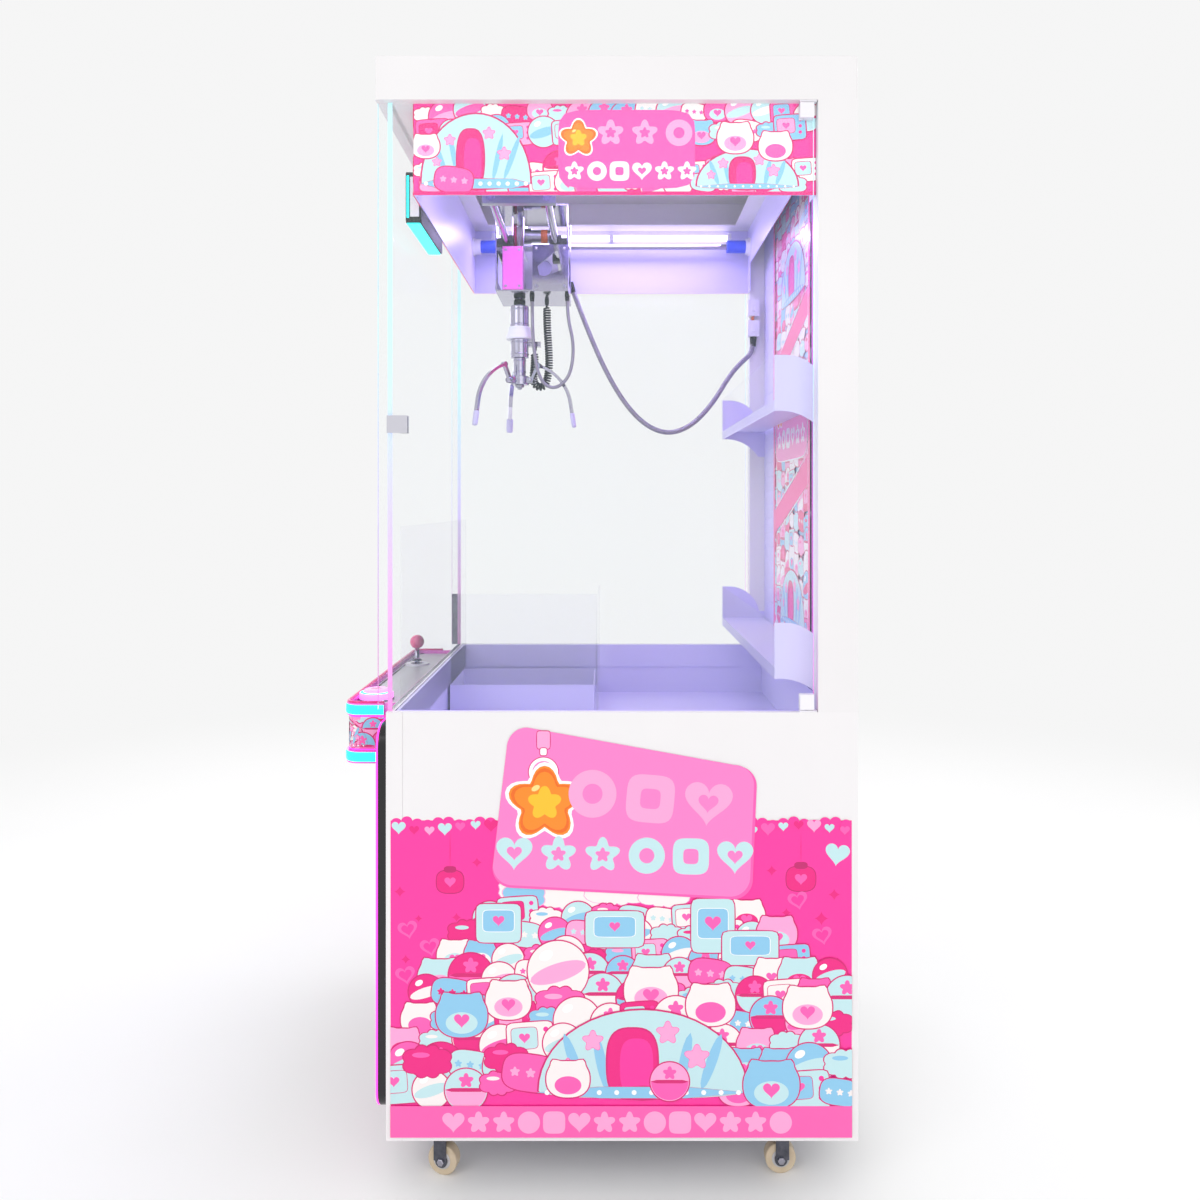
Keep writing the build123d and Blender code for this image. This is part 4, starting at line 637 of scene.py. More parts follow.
class Picture:
    """Flat inks laid one over another. An ink is an outline round a centre, in mm across and up the sheet."""

    def __init__(self):
        self.inks = []

    def lay(self, outline, across, up, code, turn=0.0, rim=None, rim_width=2.2):
        """Lays one ink, and under it a wider copy in the rim's colour."""
        c, s = np.cos(np.radians(turn)), np.sin(np.radians(turn))
        outline = outline @ np.array([[c, s], [-s, c]])
        if rim:
            reach = np.linalg.norm(outline, axis=1)
            wider = outline * (1 + rim_width / np.maximum(reach, 1.0))[:, None]
            self.inks.append((wider, (across, up), linear(rim)))
        self.inks.append((outline, (across, up), linear(code)))

    def stroke(self, start, end, width, code):
        """A straight bar with round ends between two points."""
        start, end = np.asarray(start, float), np.asarray(end, float)
        length = np.linalg.norm(end - start)
        angle = np.degrees(np.arctan2(end[1] - start[1], end[0] - start[0]))
        middle = (start + end) / 2
        self.lay(rounded(length + width, width, 8.0), middle[0], middle[1], code, angle)

    def levels(self):
        """Level of each ink: one more than the highest level among the earlier inks whose boxes it meets."""
        lows = np.array([outline.min(0) + centre for outline, centre, colour in self.inks])
        highs = np.array([outline.max(0) + centre for outline, centre, colour in self.inks])
        level = np.zeros(len(lows), int)
        for number in range(1, len(lows)):
            meets = np.all((lows[:number] < highs[number]) & (highs[:number] > lows[number]), axis=1)
            level[number] = level[:number][meets].max(initial=-1) + 1
        return level

    def mesh(self, name, place, material, body, clip=None, slot="art_print"):
        """Fans every ink out from its centre; place turns (across, up, height) arrays in mm into points."""
        points, faces, paint = [], [], []
        for number, (level, (outline, centre, colour)) in enumerate(zip(self.levels(), self.inks)):
            flat = np.vstack([[0, 0], outline]) + centre
            if clip:
                flat = np.clip(flat, clip[0], clip[1])
            points.append(place(flat[:, 0], flat[:, 1], np.full(len(flat), FILM_T + level * INK_T)))
            first = number * (len(TURN) + 1)
            ring = first + 1 + np.arange(len(TURN))
            faces += np.stack([np.full(len(TURN), first), ring, np.roll(ring, -1)], 1).tolist()
            paint += [colour] * len(TURN)
        piece = make_object(name, np.concatenate(points) * MM, faces, material, body, paint=paint)
        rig.slot(piece, slot)
        return piece


# ---- toys: each is drawn at a place, at a size, in two colours, and has no face
def draw_ball(art, y, z, size, tone, other):
    art.lay(disc(size), y, z, tone, rim=RIM)
    art.lay(disc(size * 0.96, size * 0.30), y, z - size * 0.02, other, 18)
    art.lay(disc(size * 0.24, size * 0.16), y - size * 0.2, z + size * 0.26, WHITE, 30)


def draw_gadget(art, y, z, size, tone, other):
    art.lay(rounded(size, size * 0.8, 9.0), y, z, tone, 4, rim=RIM)
    art.lay(rounded(size * 0.56, size * 0.46, 7.0), y - size * 0.13, z + size * 0.05, other, 4, rim=RIM, rim_width=1.2)
    for step in (0.2, 0.0, -0.2):
        art.lay(disc(size * 0.11), y + size * 0.33, z + size * (0.05 + step), HOT)
    art.lay(heart(size * 0.24), y - size * 0.13, z + size * 0.05, ROSE)


def draw_plush(art, y, z, size, tone, other):
    art.lay(plush(size, size * 0.84), y, z, tone, rim=RIM)
    art.lay(disc(size * 0.62, size * 0.42), y, z - size * 0.14, other)
    art.lay(heart(size * 0.3), y, z - size * 0.1, ROSE)


def draw_capsule(art, y, z, size, tone, other):
    art.lay(disc(size), y, z, tone, rim=RIM)
    art.lay(dome(size * 0.97, size * 0.48), y, z, other, 180)
    art.lay(rounded(size, size * 0.09, 6.0), y, z, RIM)
    art.lay(star(size * 0.36), y, z + size * 0.22, ROSE)


def draw_cushion(art, y, z, size, tone, other):
    art.lay(rounded(size, size * 0.66, 3.2), y, z, tone, -8, rim=RIM)
    for step in (-0.28, 0.0, 0.28):
        art.lay(flower(size * 0.18), y + size * step, z - size * step * 0.1, other)


def draw_cloud(art, y, z, size, tone, other):
    art.lay(cloud(size, size * 0.62), y, z, tone, rim=RIM)
    art.lay(disc(size * 0.34, size * 0.1), y - size * 0.12, z + size * 0.12, other)


def draw_tent(art, y, z, width, height):
    """A striped dome tent with a round-topped door and a rim of small dots."""
    art.lay(dome(width, height), y, z, MINT, rim=RIM, rim_width=3)
    for side in (-0.33, -0.20, 0.20, 0.33):
        art.lay(disc(width * 0.05, height * 0.74), y + width * side, z + height * 0.36, BLUE, -side * 60)
    for place_y, place_z, size in ((-0.24, 0.62, 0.10), (0.12, 0.72, 0.11), (0.26, 0.42, 0.12), (-0.36, 0.3, 0.08)):
        art.lay(flower(width * size), y + width * place_y, z + height * place_z, PALE, rim=ROSE, rim_width=1.2)
    art.lay(rounded(width * 0.24, height * 0.86, 3.0), y - width * 0.05, z + height * 0.34, DEEP, rim=RIM, rim_width=3)
    art.lay(rounded(width * 0.16, height * 0.70, 3.0), y - width * 0.03, z + height * 0.30, HOT)
    art.lay(rounded(width * 1.02, height * 0.14, 8.0), y, z - height * 0.02, BLUE, rim=RIM)
    for step in np.linspace(-0.46, 0.46, 12):
        art.lay(disc(height * 0.06), y + width * step, z - height * 0.02, WHITE)


TOYS = (draw_plush, draw_ball, draw_gadget, draw_capsule, draw_cloud, draw_cushion)
TONES = (CREAM, MINT, PALE, BLUE, ROSE, CREAM, MINT, DEEP)


def scatter_toys(art, rng, rows, size):
    """Rows of toys from the back to the front: a row is (height, from, to), and its toys lie size apart."""
    for z, start, end in rows:
        for y in np.arange(start, end, size * 0.78):
            toy = TOYS[rng.integers(len(TOYS))]
            tone, other = rng.choice(len(TONES), 2, replace=False)
            toy(art, y + rng.uniform(-4, 4), z + rng.uniform(-7, 7), size * rng.uniform(0.85, 1.15), TONES[tone], TONES[other])


def draw_orange_star(art, y, z, width):
    """A plain orange star charm with a rim and a yellow middle."""
    art.lay(star(width, depth=0.36), y, z, ORANGE, rim=WHITE, rim_width=width * 0.05)
    art.lay(star(width * 0.94, depth=0.36), y, z, "#F06A00")
    art.lay(star(width * 0.84, depth=0.36), y, z, ORANGE)
    art.lay(star(width * 0.46, depth=0.36), y, z, YELLOW)
    art.lay(disc(width * 0.12, width * 0.07), y - width * 0.12, z + width * 0.2, "#FFE08A", 30)


def draw_strap(art, y, top, bottom):
    """A webbing strap with a swivel and an open ring below it."""
    art.lay(rounded(22, 30, 8.0), y, top, PALE, rim=RIM, rim_width=1.5)
    art.lay(rounded(11, 12, 4.0), y, top - 20, WHITE, rim=RIM, rim_width=1.5)
    ring = bottom + 24
    art.lay(disc(50), y, ring, WHITE, rim=RIM, rim_width=1.5)
    art.lay(disc(38), y, ring, BOARD)


LETTER_STAND_INS = (heart, star, flower, disc, lambda size: rounded(size, size, 4.0))


def draw_shape_row(art, start, end, z, size, tone, first=0, hole=None, tilt=0.0):
    """A row of plain shapes in place of words, evenly spaced, each with an inner mark."""
    count = int(round((end - start) / (size * 1.12))) + 1
    for number, y in enumerate(np.linspace(start, end, count)):
        kind = LETTER_STAND_INS[(number + first) % len(LETTER_STAND_INS)]
        height = z + (y - start) * np.tan(np.radians(tilt))
        art.lay(kind(size), y, height, tone, tilt)
        if hole:
            art.lay(kind(size * 0.42), y, height, hole, tilt)


# ---- lower side panels
side_low, side_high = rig.box("side_panels")
FIELD_TOP = 638.0
BAND_TOP, BAND_LOW = 150.0, 96.0
FIELD_FRONT, FIELD_BACK = side_low.y / MM + 8, side_high.y / MM - 11
BOARD_CORNERS = ((-149, 788), (281, 712), (271, 521), (-178, 545))


def draw_board(art):
    """A tilted board with round corners: the outline runs round four corner arcs, offset outwards by the radius."""
    corners = np.array(BOARD_CORNERS, float)
    middle = corners.mean(0)
    radius = 34.0
    inner = middle + (corners - middle) * (1 - radius * 1.25 / np.linalg.norm(corners - middle, axis=1))[:, None]
    arcs = []
    quarter = len(TURN) // 4
    for corner, begin in zip(inner, (180, 90, 0, -90)):
        sweep = np.radians(np.linspace(begin, begin - 90, quarter))
        arcs.append(corner + radius * np.stack([np.cos(sweep), np.sin(sweep)], 1))
    outline = np.concatenate(arcs)[::-1] - middle
    art.inks.append((outline * 1.012, tuple(middle + (2, -3)), linear(ROSE)))
    art.inks.append((outline, tuple(middle), linear(BOARD)))


def side_picture():
    """Hot pink field with a scalloped top, a tilted board, a heap of toys round a tent, and a band below."""
    art = Picture()
    rng = np.random.default_rng(12)
    width = FIELD_BACK - FIELD_FRONT
    middle = (FIELD_FRONT + FIELD_BACK) / 2
    art.lay(rectangle(width, FIELD_TOP - BAND_LOW), middle, (FIELD_TOP + BAND_LOW) / 2, HOT)
    for number, y in enumerate(np.linspace(FIELD_FRONT + 10, FIELD_BACK - 10, 44)):
        art.lay(disc(19, 16), y, FIELD_TOP - 4 + 3 * np.sin(number * 1.7), HOT)
    for number, y in enumerate(np.linspace(FIELD_FRONT + 14, FIELD_BACK - 12, 30)):
        tone = (MINT, DEEP, PALE, MINT, ROSE)[number % 5]
        art.lay(heart(17 + 7 * (number % 3 == 0)), y, FIELD_TOP - 13 - 5 * np.sin(number * 0.9), tone)
    for y, z, size in ((-246, 533, 46), (355, 538, 50)):
        art.stroke((y, z + 20), (y, FIELD_TOP - 18), 1.6, DEEP)
        art.lay(rounded(size, size * 0.84, 3.0), y, z, DEEP, rim="#C2086A", rim_width=1.5)
        art.lay(rounded(size * 0.46, size * 0.24, 3.0), y, z + size * 0.46, "#C2086A")
        art.lay(heart(size * 0.42), y, z - 1, ROSE)
    for y, z, size in ((-332, 516, 15), (-200, 566, 13), (305, 552, 14), (412, 511, 15), (-300, 470, 10),
                       (330, 480, 12), (390, 470, 18), (-235, 472, 12), (418, 395, 12), (-322, 400, 12)):
        art.lay(sparkle(size * 1.4), y, z, DEEP)
    for y, z in ((-318, 450), (-322, 372), (392, 440), (405, 342), (-280, 420), (350, 500)):
        art.lay(heart(34), y, z, ROSE, 12)
        art.lay(heart(22), y, z, HOT, 12)
    art.lay(heart(42), 431 - 14, 579, MINT, -8)
    for y, z, size, tone in ((-110, 520, 120, CREAM), (-40, 508, 120, CREAM), (40, 516, 130, CREAM),
                             (-120, 508, 80, BLUE), (120, 512, 100, CREAM)):
        art.lay(cloud(size, 46), y, z, tone, rim=PALE, rim_width=1.5)
    scatter_toys(art, rng, ((474, -175, 300), (440, -215, 350), (404, -240, 380)), 62)
    for y, z, wide, tall in ((-163, 462, 76, 66), (36, 452, 100, 62), (204, 458, 74, 92), (268, 420, 96, 58)):
        art.lay(rounded(wide, tall, 9.0), y, z, MINT, rim=RIM)
        art.lay(rounded(wide * 0.7, tall * 0.55, 8.0), y, z + 4, BLUE, rim=WHITE, rim_width=1.2)
        art.lay(heart(tall * 0.3), y, z + 4, ROSE)
    draw_board(art)
    draw_strap(art, -86, 776, 697)
    draw_orange_star(art, -84, 668, 128)
    draw_shape_row(art, -2, 196, 684, 82, PALE, first=3, hole=BOARD, tilt=-5)
    draw_shape_row(art, -136, 242, 582, 62, MINT, first=0, hole=BOARD, tilt=-1)
    scatter_toys(art, rng, ((372, -262, 410), (338, -290, 432)), 66)
    draw_ball(art, -61, 380, 104, CREAM, PALE)
    draw_cloud(art, -58, 326, 92, ROSE, PALE)
    draw_plush(art, 98, 347, 92, CREAM, PALE)
    scatter_toys(art, rng, ((296, -300, 432), (258, -325, 430)), 70)
    draw_plush(art, 200, 322, 84, CREAM, ROSE)
    draw_plush(art, 366, 318, 84, CREAM, PALE)
    draw_plush(art, -146, 330, 78, CREAM, PALE)
    draw_plush(art, -226, 304, 88, BLUE, MINT)
    scatter_toys(art, rng, ((216, -320, -120), (220, 260, 430), (182, -330, -110), (180, 250, 432)), 72)
    draw_cloud(art, -285, 226, 90, DEEP, ROSE)
    draw_cloud(art, -150, 232, 80, DEEP, ROSE)
    draw_cushion(art, -108, 206, 96, ROSE, PALE)
    draw_tent(art, 84, 176, 356, 138)
    draw_plush(art, 304, 186, 96, BLUE, MINT)
    draw_plush(art, -44, 196, 74, CREAM, ROSE)
    draw_capsule(art, 130, 192, 66, PALE, ROSE)
    art.lay(rectangle(width, BAND_TOP - BAND_LOW), middle, (BAND_TOP + BAND_LOW) / 2, "#FF5FB2")
    draw_shape_row(art, -240, 320, (BAND_TOP + BAND_LOW) / 2 - 1, 38, PALE, hole=None)
    return art


def on_side(sign):
    """Places a picture on the outer face of a side panel: across is Y and up is Z."""
    face = side_high.x / MM
    return lambda across, up, height: np.stack([sign * (face + height), across, up], 1)


side_art = side_picture()
side_clip = ((FIELD_FRONT, BAND_LOW), (FIELD_BACK, side_high.z / MM - 3))
side_art.mesh("side_picture_right", on_side(1), FILM, "cabinet", side_clip)
flipped = side_art.mesh("side_picture_left", on_side(-1), FILM, "cabinet", side_clip)
flipped.data.flip_normals()


# ---- skirt round the top of the glass box
skirt_low, skirt_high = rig.box("skirt_ring")


def skirt_picture(start, end):
    """A strip of the same print: tents at both ends, a star and a row of shapes between them."""
    art = Picture()
    rng = np.random.default_rng(5)
    low, high = skirt_low.z / MM, skirt_high.z / MM
    tall, wide, middle = high - low, end - start, (start + end) / 2
    art.lay(rectangle(wide, tall), middle, (low + high) / 2, HOT)
    scatter_toys(art, rng, ((high - 16, start + 20, end), (high - 48, start + 30, end - 10),
                            (low + 46, start + 20, end), (low + 20, start + 30, end - 10)), 50)
    draw_tent(art, start + 0.155 * wide, low + 22, 0.27 * wide, 118)
    draw_tent(art, start + 0.83 * wide, low + 16, 0.25 * wide, 62)
    draw_cushion(art, start + 0.10 * wide, low + 26, 66, ROSE, PALE)
    draw_plush(art, start + 0.03 * wide, low + 84, 48, CREAM, PALE)
    draw_plush(art, start + 0.80 * wide, low + 98, 62, CREAM, PALE)
    draw_plush(art, start + 0.90 * wide, low + 84, 58, CREAM, ROSE)
    board = start + 0.53 * wide
    art.lay(rounded(0.34 * wide, tall * 0.86, 7.0), board, low + tall * 0.5, "#FF56B4")
    draw_orange_star(art, start + 0.41 * wide, low + tall * 0.62, 64)
    draw_shape_row(art, start + 0.49 * wide, start + 0.66 * wide, low + tall * 0.68, 46, PALE, 1, "#FF56B4")
    draw_shape_row(art, start + 0.40 * wide, start + 0.68 * wide, low + tall * 0.26, 34, CREAM, 2, "#FF56B4")
    art.lay(rectangle(wide, 6), middle, low + 3, DEEP)
    return art


skirt_clip = lambda start, end: ((start, skirt_low.z / MM), (end, skirt_high.z / MM))
strip = skirt_picture(skirt_low.y / MM, skirt_high.y / MM)
strip_clip = skirt_clip(skirt_low.y / MM, skirt_high.y / MM)
skirt_x = skirt_high.x / MM
strip.mesh("skirt_picture_right", lambda u, v, h: np.stack([skirt_x + h, u, v], 1), LIT_FILM, "cabinet", strip_clip)
far = strip.mesh("skirt_picture_left", lambda u, v, h: np.stack([-skirt_x - h, u, v], 1), LIT_FILM, "cabinet", strip_clip)
far.data.flip_normals()
front_strip = skirt_picture(skirt_low.x / MM, skirt_high.x / MM)
front_strip.mesh("skirt_picture_front", lambda u, v, h: np.stack([u, skirt_low.y / MM - h, v], 1), LIT_FILM,
                 "cabinet", skirt_clip(skirt_low.x / MM, skirt_high.x / MM))


# ---- picture on the back wall
back_low, back_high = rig.box("back_art_panel")


def back_picture():
    """Three picture blocks in a pink frame, parted by slanting pink bands, with toys in each block."""
    art = Picture()
    rng = np.random.default_rng(21)
    low, high = np.array(back_low) / MM, np.array(back_high) / MM
    wide, tall = high[0] - low[0], high[2] - low[2]
    middle = (low[2] + high[2]) / 2
    art.lay(rectangle(wide, tall), 0, middle, "#A6CBEF")
    rows = [(z, low[0] + 20, high[0]) for z in np.arange(high[2] - 40, low[2] + 10, -44)]
    scatter_toys(art, rng, rows, 62)
    for share in (0.36, 0.69):
        z = low[2] + share * tall
        art.stroke((low[0] - 10, z - 62), (high[0] + 10, z + 62), 52, HOT)
        art.stroke((low[0] - 10, z - 62 + 31), (high[0] + 10, z + 62 + 31), 4, WHITE)
        art.stroke((low[0] - 10, z - 62 - 31), (high[0] + 10, z + 62 - 31), 4, WHITE)
    for share in (0.16, 0.84):
        z = low[2] + share * tall
        draw_tent(art, 20, z - 60, 250, 110)
    board = low[2] + 0.525 * tall
    art.lay(rounded(wide * 0.86, 170, 8.0), 0, board, BOARD, rim=WHITE, rim_width=3)
    draw_orange_star(art, -118, board + 26, 78)
    draw_shape_row(art, -44, 128, board + 38, 56, PALE, 1, BOARD)
    draw_shape_row(art, -124, 128, board - 38, 44, CREAM, 2, BOARD)
    for side in (-1, 1):
        art.lay(rectangle(16, tall), side * (high[0] - 8), middle, HOT)
        art.lay(rectangle(2.4, tall), side * (high[0] - 17), middle, WHITE)
    for z in (low[2] + 7, high[2] - 7):
        art.lay(rectangle(wide, 14), 0, z, HOT)
    return art


back_clip = ((back_low.x / MM, back_low.z / MM), (back_high.x / MM, back_high.z / MM))
back_picture().mesh("back_picture", lambda u, v, h: np.stack([u, back_low.y / MM - h, v], 1), FILM, "cabinet", back_clip)


# ------------------------------------------------------------------ cabinet details
def mid(node):
    """Middle of a node's box."""
    low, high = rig.box(node)
    return (Vector(low) + Vector(high)) / 2


control_low, control_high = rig.box("control_box")
BAND_H, BAND_PROUD, CORNER_R = 22 * MM, 5 * MM, 28 * MM


def control_route(inset, steps=9):
    """Plan line round the control box, from its right back corner round the front to the left: straight side,
    quarter circle, straight front, quarter circle, side. Returns places, outward normals and run so far."""
    half, front = control_high.x - inset, control_low.y + inset
    back, radius = cad_low.y + 73 * MM, CORNER_R - inset
    angles = np.linspace(0, np.pi / 2, steps)
    right = np.stack([half - radius + radius * np.cos(angles), front + radius - radius * np.sin(angles)], 1)
    right_normal = np.stack([np.cos(angles), -np.sin(angles)], 1)
    points = np.vstack([[[half, back]], right, right[::-1] * [-1, 1], [[-half, back]]])
    normals = np.vstack([[[1, 0]], right_normal, right_normal[::-1] * [-1, 1], [[-1, 0]]])
    run = np.concatenate([[0], np.cumsum(np.linalg.norm(np.diff(points, axis=0), axis=1))])
    return points, normals, run


def band(name, inset, low, high, proud, material, slot="art_board"):
    """A strip round the control box: the plan line times a profile that stands proud with rounded edges."""
    points, normals, run = control_route(inset, 14)
    t = np.linspace(0, 1, 9)
    height = low + (high - low) * t
    out = proud * (1 - np.abs(2 * t - 1) ** 6)
    grid = np.concatenate([
        (points[:, None] + normals[:, None] * out[None, :, None]),
        np.broadcast_to(height[None, :, None], (len(points), len(t), 1))], axis=2)
    piece = make_object(name, grid.reshape(-1, 3), grid_faces(len(points), len(t)), material, "cabinet", smooth=True)
    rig.slot(piece, slot)
    return piece


def control_picture():
    """The same print wrapped round the control box between its light bands."""
    art = Picture()
    rng = np.random.default_rng(31)
    points, normals, run = control_route(BAND_PROUD)
    low, high = (control_low.z + BAND_H) / MM, (control_high.z - BAND_H) / MM
    length = run[-1] / MM
    panels = 60
    for number in range(panels):
        art.lay(rectangle(length / panels + 0.5, high - low), (number + 0.5) * length / panels, (low + high) / 2,
                "#FF9AD0")
    middle = (low + high) / 2
    scatter_toys(art, rng, ((high - 8, 8, length), (middle + 4, 22, length), (low + 12, 4, length)), 44)
    for share in (0.12, 0.5, 0.88):
        draw_tent(art, share * length, low + 10, 110, 46)

    def place(across, up, height):
        run_at = np.clip(across * MM, 0, run[-1])
        spot = np.stack([np.interp(run_at, run, points[:, k]) for k in (0, 1)], 1)
        normal = np.stack([np.interp(run_at, run, normals[:, k]) for k in (0, 1)], 1)
        plan = spot + normal * (height * MM + 0.3 * MM)[:, None]
        return np.stack([plan[:, 0], plan[:, 1], up * MM], 1) / MM

    clip = ((0, low), (length, high))
    piece = art.mesh("control_picture", place, FILM, "cabinet", clip, "art_board")
    return piece


control_piece = control_picture()
control_piece.data.flip_normals()
band("light_band_top", 0, control_high.z - BAND_H + 2 * MM, control_high.z - 3 * MM, 1.6 * MM, CYAN_GLOW)
band("light_band_bottom", 0, control_low.z + 3 * MM, control_low.z + BAND_H - 2 * MM, 1.6 * MM, CYAN_GLOW)
band("light_line_top", BAND_PROUD, control_high.z - BAND_H - 3.5 * MM, control_high.z - BAND_H - 0.5 * MM, 1.8 * MM,
     PINK_GLOW)
band("light_line_bottom", BAND_PROUD, control_low.z + BAND_H + 0.5 * MM, control_low.z + BAND_H + 3.5 * MM,
     1.8 * MM, PINK_GLOW)


def panel_rim():
    """A pink trim bead round the top of the control box, and a black line laid in the plate's front edge."""
    points, normals, run = control_route(4 * MM, 14)
    route = np.column_stack([points, np.full(len(points), control_high.z + 0.6 * MM)])
    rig.slot(make_object("control_rim", *tube(route, 3.2 * MM, 10), MAGENTA_ABS, "cabinet", smooth=True), "art_board")
    points, normals, run = control_route(16 * MM, 14)
    plate_low, plate_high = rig.box("control_plate")
    route = np.column_stack([points[1:-1], np.full(len(points) - 2, plate_high.z + 0.2 * MM)])
    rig.slot(make_object("control_inlay", *tube(route, 1.7 * MM, 8), BLACK_GLOSS, "cabinet", smooth=True), "grey_metal")


panel_rim()


# ---- joystick and button
def stick_details():
    """Steel shaft sleeve, and a domed dust washer that clears the seat ring when the stick leans 14 degrees."""
    stick_low, stick_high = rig.box("joystick")
    centre = mid("joystick")
    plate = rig.box("control_plate")[1].z
    ball = 16 * MM
    sleeve = [(5.4 * MM, plate - stick_low.z - 12 * MM), (5.4 * MM, stick_high.z - stick_low.z - 2 * ball + 2 * MM)]
    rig.slot(make_object("stick_shaft", *lathe(sleeve, (centre.x, centre.y, stick_low.z), (0, 0, 1), 24), CHROME,
                        "joystick", smooth=True), "red_ball")
    dome_profile = [(5.6, 4.0), (8, 3.6), (10, 2.4), (11.6, 0.6), (11.8, 0.0), (5.6, 0.0)]
    seat = [(r * MM, h * MM + 9.2 * MM) for r, h in dome_profile]
    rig.slot(make_object("stick_washer", *lathe(seat, (centre.x, centre.y, plate), (0, 0, 1), 40), BLACK_ABS,
                        "joystick", smooth=True), "red_ball")


def button_details():
    """Chrome ring round the button's cup, a lamp ring inside it, and a plain star laid in the plunger."""
    centre = mid("drop_button")
    socket_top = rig.box("control_plate")[1].z + 14 * MM
    ring = [(31.2, 0), (32.6, 0.4), (33, 1.6), (32.4, 2.8), (31.2, 3.0)]
    outline = [(r * MM, h * MM) for r, h in ring]
    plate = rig.box("control_plate")[1].z
    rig.slot(make_object("button_ring", *lathe(outline, (centre.x, centre.y, plate), (0, 0, 1), 48), CHROME, "cabinet",
                        smooth=True), "white_plastic")
    glow = [(24.6, 0.0), (27.8, 0.0), (28.4, 0.6), (24.6, 0.8)]
    outline = [(r * MM, h * MM) for r, h in glow]
    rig.slot(make_object("button_lamp_ring", *lathe(outline, (centre.x, centre.y, socket_top), (0, 0, 1), 48),
                        CYAN_GLOW, "cabinet", smooth=True), "white_plastic")
    sleeve = [(31.0, 3.0), (31.6, 3.4), (31.6, 13.4), (31.0, 13.9)]
    outline = [(r * MM, h * MM) for r, h in sleeve]
    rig.slot(make_object("button_sleeve", *lathe(outline, (centre.x, centre.y, plate), (0, 0, 1), 48), BUTTON_GLOW,
                        "cabinet", smooth=True), "lit_button")
    art = Picture()
    art.lay(disc(30), centre.x / MM, centre.y / MM, "#FFC4F4")
    art.lay(star(22), centre.x / MM, centre.y / MM, HOT)
    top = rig.box("drop_button")[1].z / MM
    art.mesh("button_star", lambda u, v, h: np.stack([u, v, top + h], 1), FILM, "drop_button", slot="lit_button")


stick_details()
button_details()


# ---- trim on the front bezel
bezel_low, bezel_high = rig.box("front_bezel")


def bezel_trim():
    """A magenta bead round the bezel's front edge: a rounded rectangle, quarter circles joined by straight runs."""
    inset, radius = 2.5 * MM, 37.5 * MM
    face = cad_low.y + 73 * MM
    half, foot, top = bezel_high.x - inset - radius, bezel_low.z + inset + radius, bezel_high.z - inset - radius
    quarter = np.linspace(0, np.pi / 2, 12)
    corners = ((half, top, 0.0), (-half, top, 0.25), (-half, foot, 0.5), (half, foot, 0.75))
    line = np.vstack([np.stack([x + radius * np.cos(quarter + part * TAU), z + radius * np.sin(quarter + part * TAU)], 1)
                      for x, z, part in corners])
    line = np.vstack([line, line[:1]])
    route = np.stack([line[:, 0], np.full(len(line), face + 1.6 * MM), line[:, 1]], 1)
    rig.slot(make_object("bezel_trim", *tube(route, 2.4 * MM, 10), PINK_GLOW, "cabinet", smooth=True), "black_gloss")


bezel_trim()


# ---- glass edges
def edge_strips():
    """Thin strips with a painted glow over the ground edges of the three panes."""
    door_low, door_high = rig.box("side_glass_door")
    fixed_low, fixed_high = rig.box("fixed_glass")
    thin = 0.35 * MM
    shapes = {"glass_door": [], "cabinet": []}
    for x0, x1, body in ((door_low.x, door_high.x, "glass_door"), (-door_high.x, -door_low.x, "cabinet")):
        for y0, y1 in ((door_low.y - thin, door_low.y), (door_high.y, door_high.y + thin)):
            shapes[body].append(slab((x0, y0, door_low.z), (x1, y1, door_high.z)))
    front_y = fixed_low.y
    for x in (fixed_low.x + 6 * MM, fixed_high.x):
        shapes["cabinet"].append(slab((x, -356 * MM, fixed_low.z), (x + thin, -348 * MM, fixed_high.z)))
    for body, slabs in shapes.items():
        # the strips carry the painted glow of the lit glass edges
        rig.slot(make_object("glass_edges_" + body, *merged(slabs), PAINTED_EDGE_GLOW, body), "clear_glass")


edge_strips()


# ---- lamps in the skirt
def lamp_tubes():
    """Round-ended lamp tubes on both long sides of the skirt, under the header, in white end clips."""
    start, end = skirt_low.y + 45 * MM, skirt_high.y - 45 * MM
    height = skirt_high.z - 22 * MM
    for side in (-1, 1):
        x = side * (skirt_high.x - 14 * MM)
        profile = [(2, 0), (6, 1), (7.5, 4), (7.5, (end - start) / MM - 4), (6, (end - start) / MM - 1),
                   (2, (end - start) / MM)]
        outline = [(r * MM, h * MM) for r, h in profile]
        name = "lamp_tube_right" if side > 0 else "lamp_tube_left"
        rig.slot(make_object(name, *lathe(outline, (x, start, height), (0, 1, 0), 16), LAMP, "cabinet", smooth=True),
                "lit_button")
        clips = [slab((x - 10 * MM, y - 5 * MM, height - 10 * MM), (x + 10 * MM, y + 5 * MM, height + 12 * MM), 2 * MM)
                 for y in (start + 6 * MM, (start + end) / 2, end - 6 * MM)]
        clip_name = "lamp_clips_right" if side > 0 else "lamp_clips_left"
        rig.slot(make_object(clip_name, *merged(clips), WHITE_ABS, "cabinet"), "white_plastic")


lamp_tubes()


